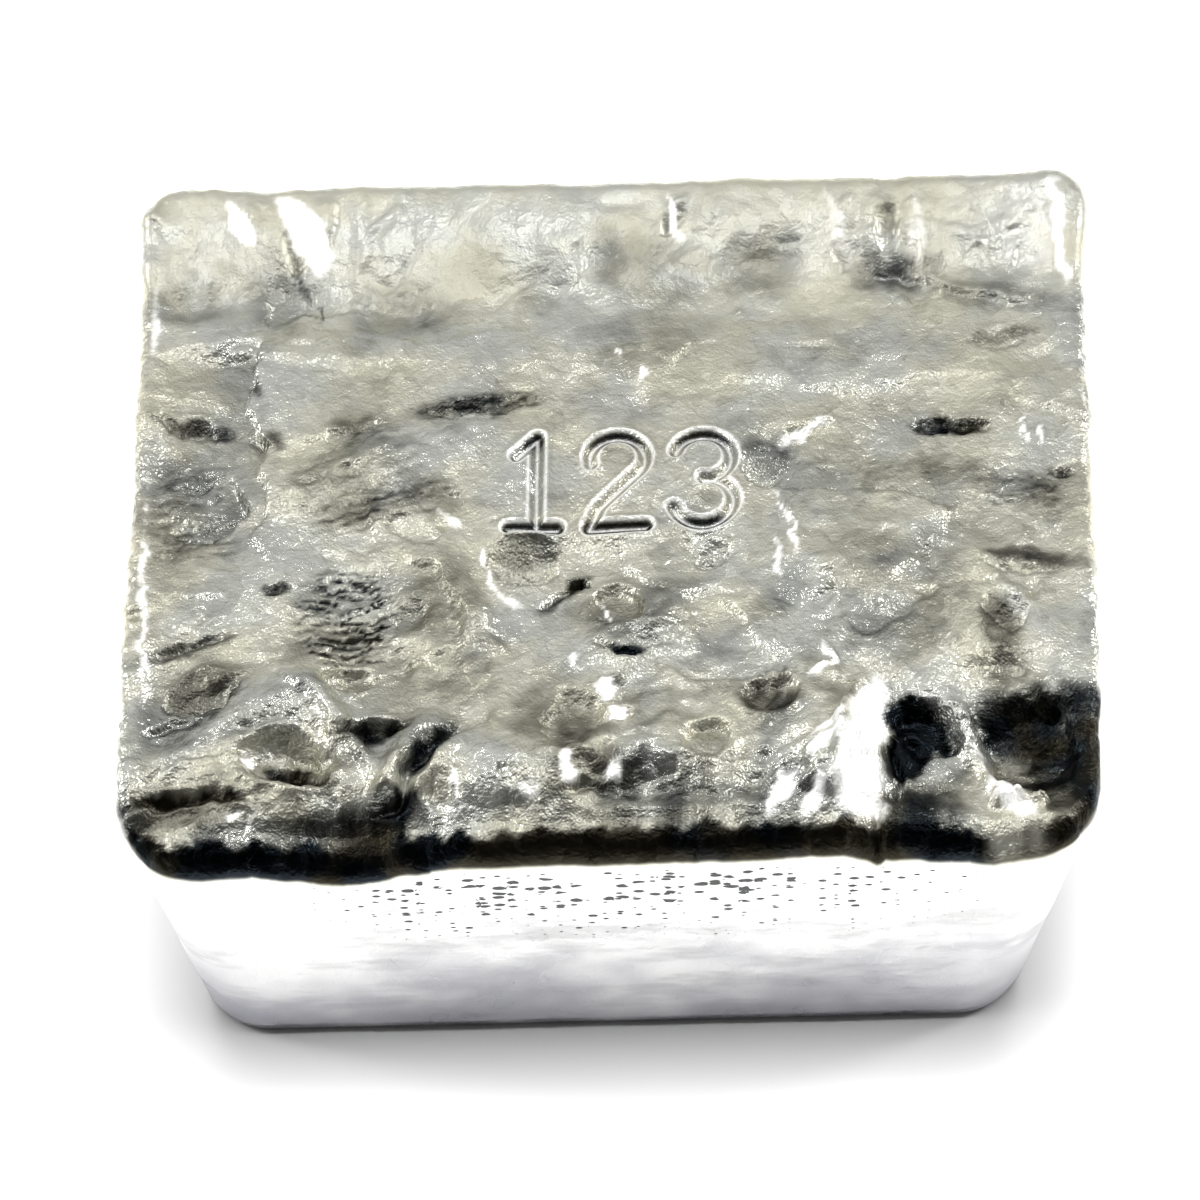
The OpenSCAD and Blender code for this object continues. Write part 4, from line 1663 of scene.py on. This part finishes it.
@dataclass
class Studio:
    """The camera, the pale floor and the soft lights.

    Angles are in degrees, places and lengths in metres and the lens in mm. dark_low is how far from overhead
    the world's dark part lies, in front.
    """

    elevation: float = 50.93
    roll: float = 1.31
    distance: float = 0.48
    lens: float = 225.0
    aim_x: float = -0.0011
    aim_y: float = -0.0004
    aim_z: float = 0.0163
    dark_low: float = 66.0

    def camera(self) -> None:
        """Place the camera in front of the ingot, looking down on it."""
        data = bpy.data.cameras.new("camera")
        data.lens = self.lens
        data.sensor_width = 36.0
        cam = bpy.data.objects.new("camera", data)
        bpy.context.scene.collection.objects.link(cam)
        e, r = math.radians(self.elevation), math.radians(self.roll)
        back = Vector((0, -math.cos(e), math.sin(e)))
        right = Vector((1, 0, 0))
        up = back.cross(right)
        level_x = right * math.cos(r) - up * math.sin(r)
        level_y = right * math.sin(r) + up * math.cos(r)
        cam.rotation_mode = "QUATERNION"
        cam.rotation_quaternion = Matrix((level_x, level_y, back)).transposed().to_quaternion()
        cam.location = Vector((self.aim_x, self.aim_y, self.aim_z)) + back * self.distance
        bpy.context.scene.camera = cam

    @staticmethod
    def sheet(
        name: str, half: tuple[float, float], place: tuple[float, float, float], shade: float
    ) -> bpy.types.Object:
        """Lay a flat staged sheet.

        Args:
            name: Name of the sheet.
            half: Half width and half depth, m.
            place: Its middle, m.
            shade: Grey of its matt paint.

        Returns:
            The sheet.
        """
        bm = bmesh.new()
        bmesh.ops.create_grid(bm, x_segments=2, y_segments=2, size=1.0)
        bmesh.ops.scale(bm, verts=bm.verts, vec=(*half, 1.0))
        bmesh.ops.translate(bm, verts=bm.verts, vec=place)
        mesh = bpy.data.meshes.new(name)
        bm.to_mesh(mesh)
        bm.free()
        obj = bpy.data.objects.new(name, mesh)
        bpy.context.scene.collection.objects.link(obj)
        mat = bpy.data.materials.new(name)
        mat.use_nodes = True
        shader = mat.node_tree.nodes["Principled BSDF"]
        shader.inputs["Base Color"].default_value = (shade, shade, shade, 1)
        shader.inputs["Roughness"].default_value = 0.9
        mesh.materials.append(mat)
        return obj

    def floor(self) -> None:
        """Lay the pale floor, and a dark card before the ingot that only its mirror finish can see."""
        self.sheet("studio_floor", (3.0, 3.0), (0.0, 0.0, 0.0), 0.93)
        card = self.sheet("front_flag", (0.5, 0.4), (0.0, -0.48, 0.0006), 0.01)
        card.visible_camera = False
        card.visible_diffuse = False
        card.visible_shadow = False

    def world(self) -> None:
        """Surround the ingot with soft light: bright overhead and aside, dark from in front."""
        world = bpy.data.worlds.new("studio")
        bpy.context.scene.world = world
        world.use_nodes = True
        tree = world.node_tree
        tree.nodes.clear()
        out = tree.nodes.new("ShaderNodeOutputWorld")
        coord = tree.nodes.new("ShaderNodeTexCoord").outputs["Generated"]
        low = math.radians(self.dark_low)
        dark_from = Vector((0, -math.sin(low), math.cos(low)))
        light = map_node(tree, vector_node(tree, "DOT_PRODUCT", coord, dark_from), 0.56, 0.78, 1.0, 0.01)
        split = tree.nodes.new("ShaderNodeSeparateXYZ")
        tree.links.new(coord, split.inputs[0])
        height = map_node(tree, split.outputs["Z"], 0.2, 1.0, 0.34, 0.66)
        side = map_node(tree, split.outputs["X"], -0.6, 0.6, 1.15, 0.85)
        strength = math_node(tree, "MULTIPLY", light, height, side)
        studio = tree.nodes.new("ShaderNodeBackground")
        studio.inputs["Color"].default_value = (1.0, 1.0, 1.0, 1)
        tree.links.new(strength, studio.inputs["Strength"])
        pale = tree.nodes.new("ShaderNodeBackground")
        pale.inputs["Color"].default_value = (1.0, 1.0, 1.0, 1)
        pale.inputs["Strength"].default_value = 0.95
        seen = tree.nodes.new("ShaderNodeLightPath")
        mix = tree.nodes.new("ShaderNodeMixShader")
        tree.links.new(seen.outputs["Is Camera Ray"], mix.inputs["Fac"])
        tree.links.new(studio.outputs[0], mix.inputs[1])
        tree.links.new(pale.outputs[0], mix.inputs[2])
        tree.links.new(mix.outputs[0], out.inputs["Surface"])

    @staticmethod
    def lamp(
        name: str, place: tuple[float, float, float], size: float, power: float, mirrored: bool = True
    ) -> None:
        """Hang a square soft light that faces the ingot.

        Args:
            name: Light name.
            place: Where it hangs, m.
            size: Side, m.
            power: Power, W.
            mirrored: Whether the metal shows it as a highlight.
        """
        data = bpy.data.lights.new(name, "AREA")
        data.shape = "SQUARE"
        data.size = size
        data.energy = power
        lamp = bpy.data.objects.new(name, data)
        lamp.location = place
        lamp.rotation_euler = (-Vector(place)).to_track_quat("-Z", "Y").to_euler()
        lamp.visible_glossy = mirrored
        bpy.context.scene.collection.objects.link(lamp)

    def build(self) -> None:
        """Set up the whole studio."""
        self.camera()
        self.floor()
        self.world()
        self.lamp("floor_fill", (0.0, 0.05, 1.2), 0.8, 26.0, mirrored=False)
        self.lamp("key", (0.10, 0.02, 1.2), 0.13, 1.2)
        self.lamp("left_side", (-1.0, 0.15, 0.75), 0.22, 3.0)
        self.lamp("right_side", (1.0, 0.25, 0.7), 0.22, 3.5)
        paths = bpy.context.scene.cycles
        paths.max_bounces, paths.diffuse_bounces, paths.glossy_bounces = 4, 2, 3
        paths.caustics_reflective = False
        view = bpy.context.scene.view_settings
        view.view_transform = "Standard"
        view.exposure = 0.0


def main() -> None:
    """Build the studio and the ingot."""
    logging.basicConfig(level=logging.INFO, format="%(message)s")
    Studio().build()
    ingot = Ingot()
    casting = ingot.build()
    ingot.dress(casting)
    triangles = sum(len(p.vertices) - 2 for p in casting.data.polygons)
    LOG.info("%s: %d vertices, %d triangles", casting.name, len(casting.data.vertices), triangles)


if __name__ == "__main__":
    main()
